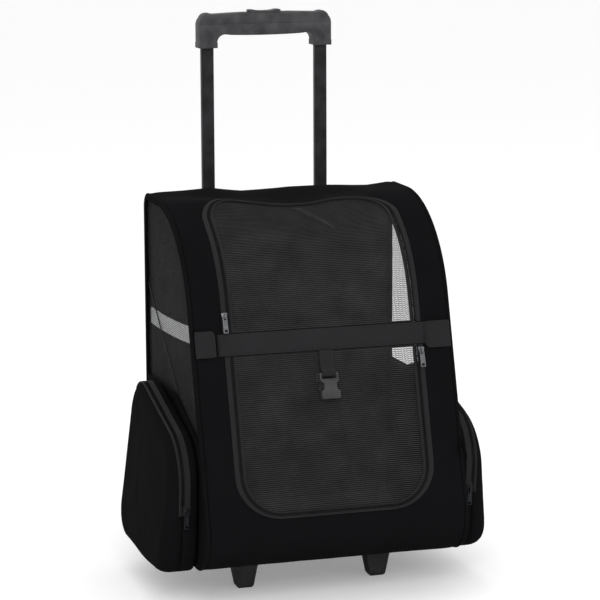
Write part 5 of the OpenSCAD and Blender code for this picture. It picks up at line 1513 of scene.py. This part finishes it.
def worn_pull(bm):
    """Draws a zip pull in to its stamped shape, about the eye that it hangs from."""
    eye = max((v.co for v in bm.verts), key=lambda c: c.z).z
    middle = sum(v.co.x for v in bm.verts) / len(bm.verts)
    for v in bm.verts:
        v.co.z = eye + (v.co.z - eye) * PULL_SHARE
        v.co.x = middle + (v.co.x - middle) * PULL_SHARE


def soften(node, body, paint, radius):
    """A copy of a CAD node with rounded edges, which stands for it."""
    bm = bmesh.new()
    bm.from_mesh(frame["nodes"][node].data)
    if "_pull" in node:
        worn_pull(bm)
    bmesh.ops.remove_doubles(bm, verts=bm.verts, dist=2e-6)
    bmesh.ops.dissolve_limit(bm, angle_limit=math.radians(FLAT_ANGLE), verts=bm.verts, edges=bm.edges)
    edges = [e for e in bm.edges if e.is_manifold and e.calc_face_angle(0) > math.radians(SHARP_ANGLE)]
    bmesh.ops.bevel(bm, geom=edges, offset=radius * MM, offset_type="OFFSET", segments=BEVEL_STEPS,
        profile=0.5, affect="EDGES", clamp_overlap=True, material=-1)
    data = bpy.data.meshes.new(f"{node}_rounded")
    bm.to_mesh(data)
    bm.free()
    data.materials.append(paint)
    for polygon in data.polygons:
        polygon.use_smooth = True
    data.set_sharp_from_angle(angle=math.radians(SMOOTH_ANGLE))
    piece = bpy.data.objects.new(f"{node}_rounded", data)
    bpy.context.scene.collection.objects.link(piece)
    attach(piece, body)
    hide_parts(node)
    return piece


body_of_node = {n: b for b, ns in frame["record"]["behaviour"]["bodies"].items() for n in ns}
print("nodes with a body:", len(body_of_node))

# %% Rounded copies of the rigid solids
# (node, finish, slot, radius of its edges in mm)
HARD = [("grip_upper_shell", GRIP_ABS, "grip", 1.5), ("grip_lower_shell", GRIP_ABS, "grip", 1.3),
    ("grip_button", BUTTON_ABS, "button", 0.8), ("buckle_socket", BUCKLE_POM, "buckle", 0.5),
    ("buckle_plug", BUCKLE_POM, "buckle", 0.4), ("upper_bracket", FOOT_PP, "moulding", 0.6),
    ("lower_bracket", FOOT_PP, "moulding", 0.6), ("upper_zip_slider", ZINC, "zinc", 0.35),
    ("upper_zip_pull", ZINC, "zinc", 0.3), ("lower_zip_slider", ZINC, "zinc", 0.35),
    ("lower_zip_pull", ZINC, "zinc", 0.3), ("pocket_slider_left", DARK_ZINC, "zinc", 0.35),
    ("pocket_slider_right", DARK_ZINC, "zinc", 0.35), ("pocket_pull_left", DARK_ZINC, "zinc", 0.3),
    ("pocket_pull_right", DARK_ZINC, "zinc", 0.3), ("wheel_housing_left", FOOT_PP, "moulding", 0.8),
    ("wheel_housing_right", FOOT_PP, "moulding", 0.8), ("wheel_hub_left", HUB_NYLON, "hub", 0.4),
    ("wheel_hub_right", HUB_NYLON, "hub", 0.4), ("front_foot_left", FOOT_PP, "moulding", 1.2),
    ("front_foot_right", FOOT_PP, "moulding", 1.2)]
for node, paint, slot, radius in HARD:
    piece = soften(node, body_of_node[node], paint, radius)
    print(node, len(piece.data.polygons))

# %% [markdown]
# ### Solids that are right as they are
# Tubes, tyres, boards, pins and screws are turned, extruded or cut from sheet, so their CAD
# mesh already has the real edges. They keep it and only get their finish.

# %% Finishes for the solids that keep their mesh
KEPT = {"outer_tube_left": TUBE, "outer_tube_right": TUBE, "inner_tube_left": TUBE, "inner_tube_right": TUBE,
    "grip_screws": BLACK_STEEL, "button_spring": STEEL, "release_linkage": STEEL, "lock_pin_left": STEEL,
    "lock_pin_right": STEEL, "axles": STEEL, "base_screws": STEEL, "tyre_left": TYRE_EVA,
    "tyre_right": TYRE_EVA, "base_board": BOARD, "back_board": BOARD}
for node, paint in KEPT.items():
    slots = frame["nodes"][node].data.materials
    if not slots:
        slots.append(paint)
    for i in range(len(slots)):
        slots[i] = paint
print("finished nodes:", len(KEPT))

# %% [markdown]
# ## Sizes
# Cloth may stand a little proud of its solids, but the dressed carrier has to stay the size
# that was designed. The dressed carrier's box is found here.

# %% Sizes: the dressed carrier's box
low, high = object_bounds()
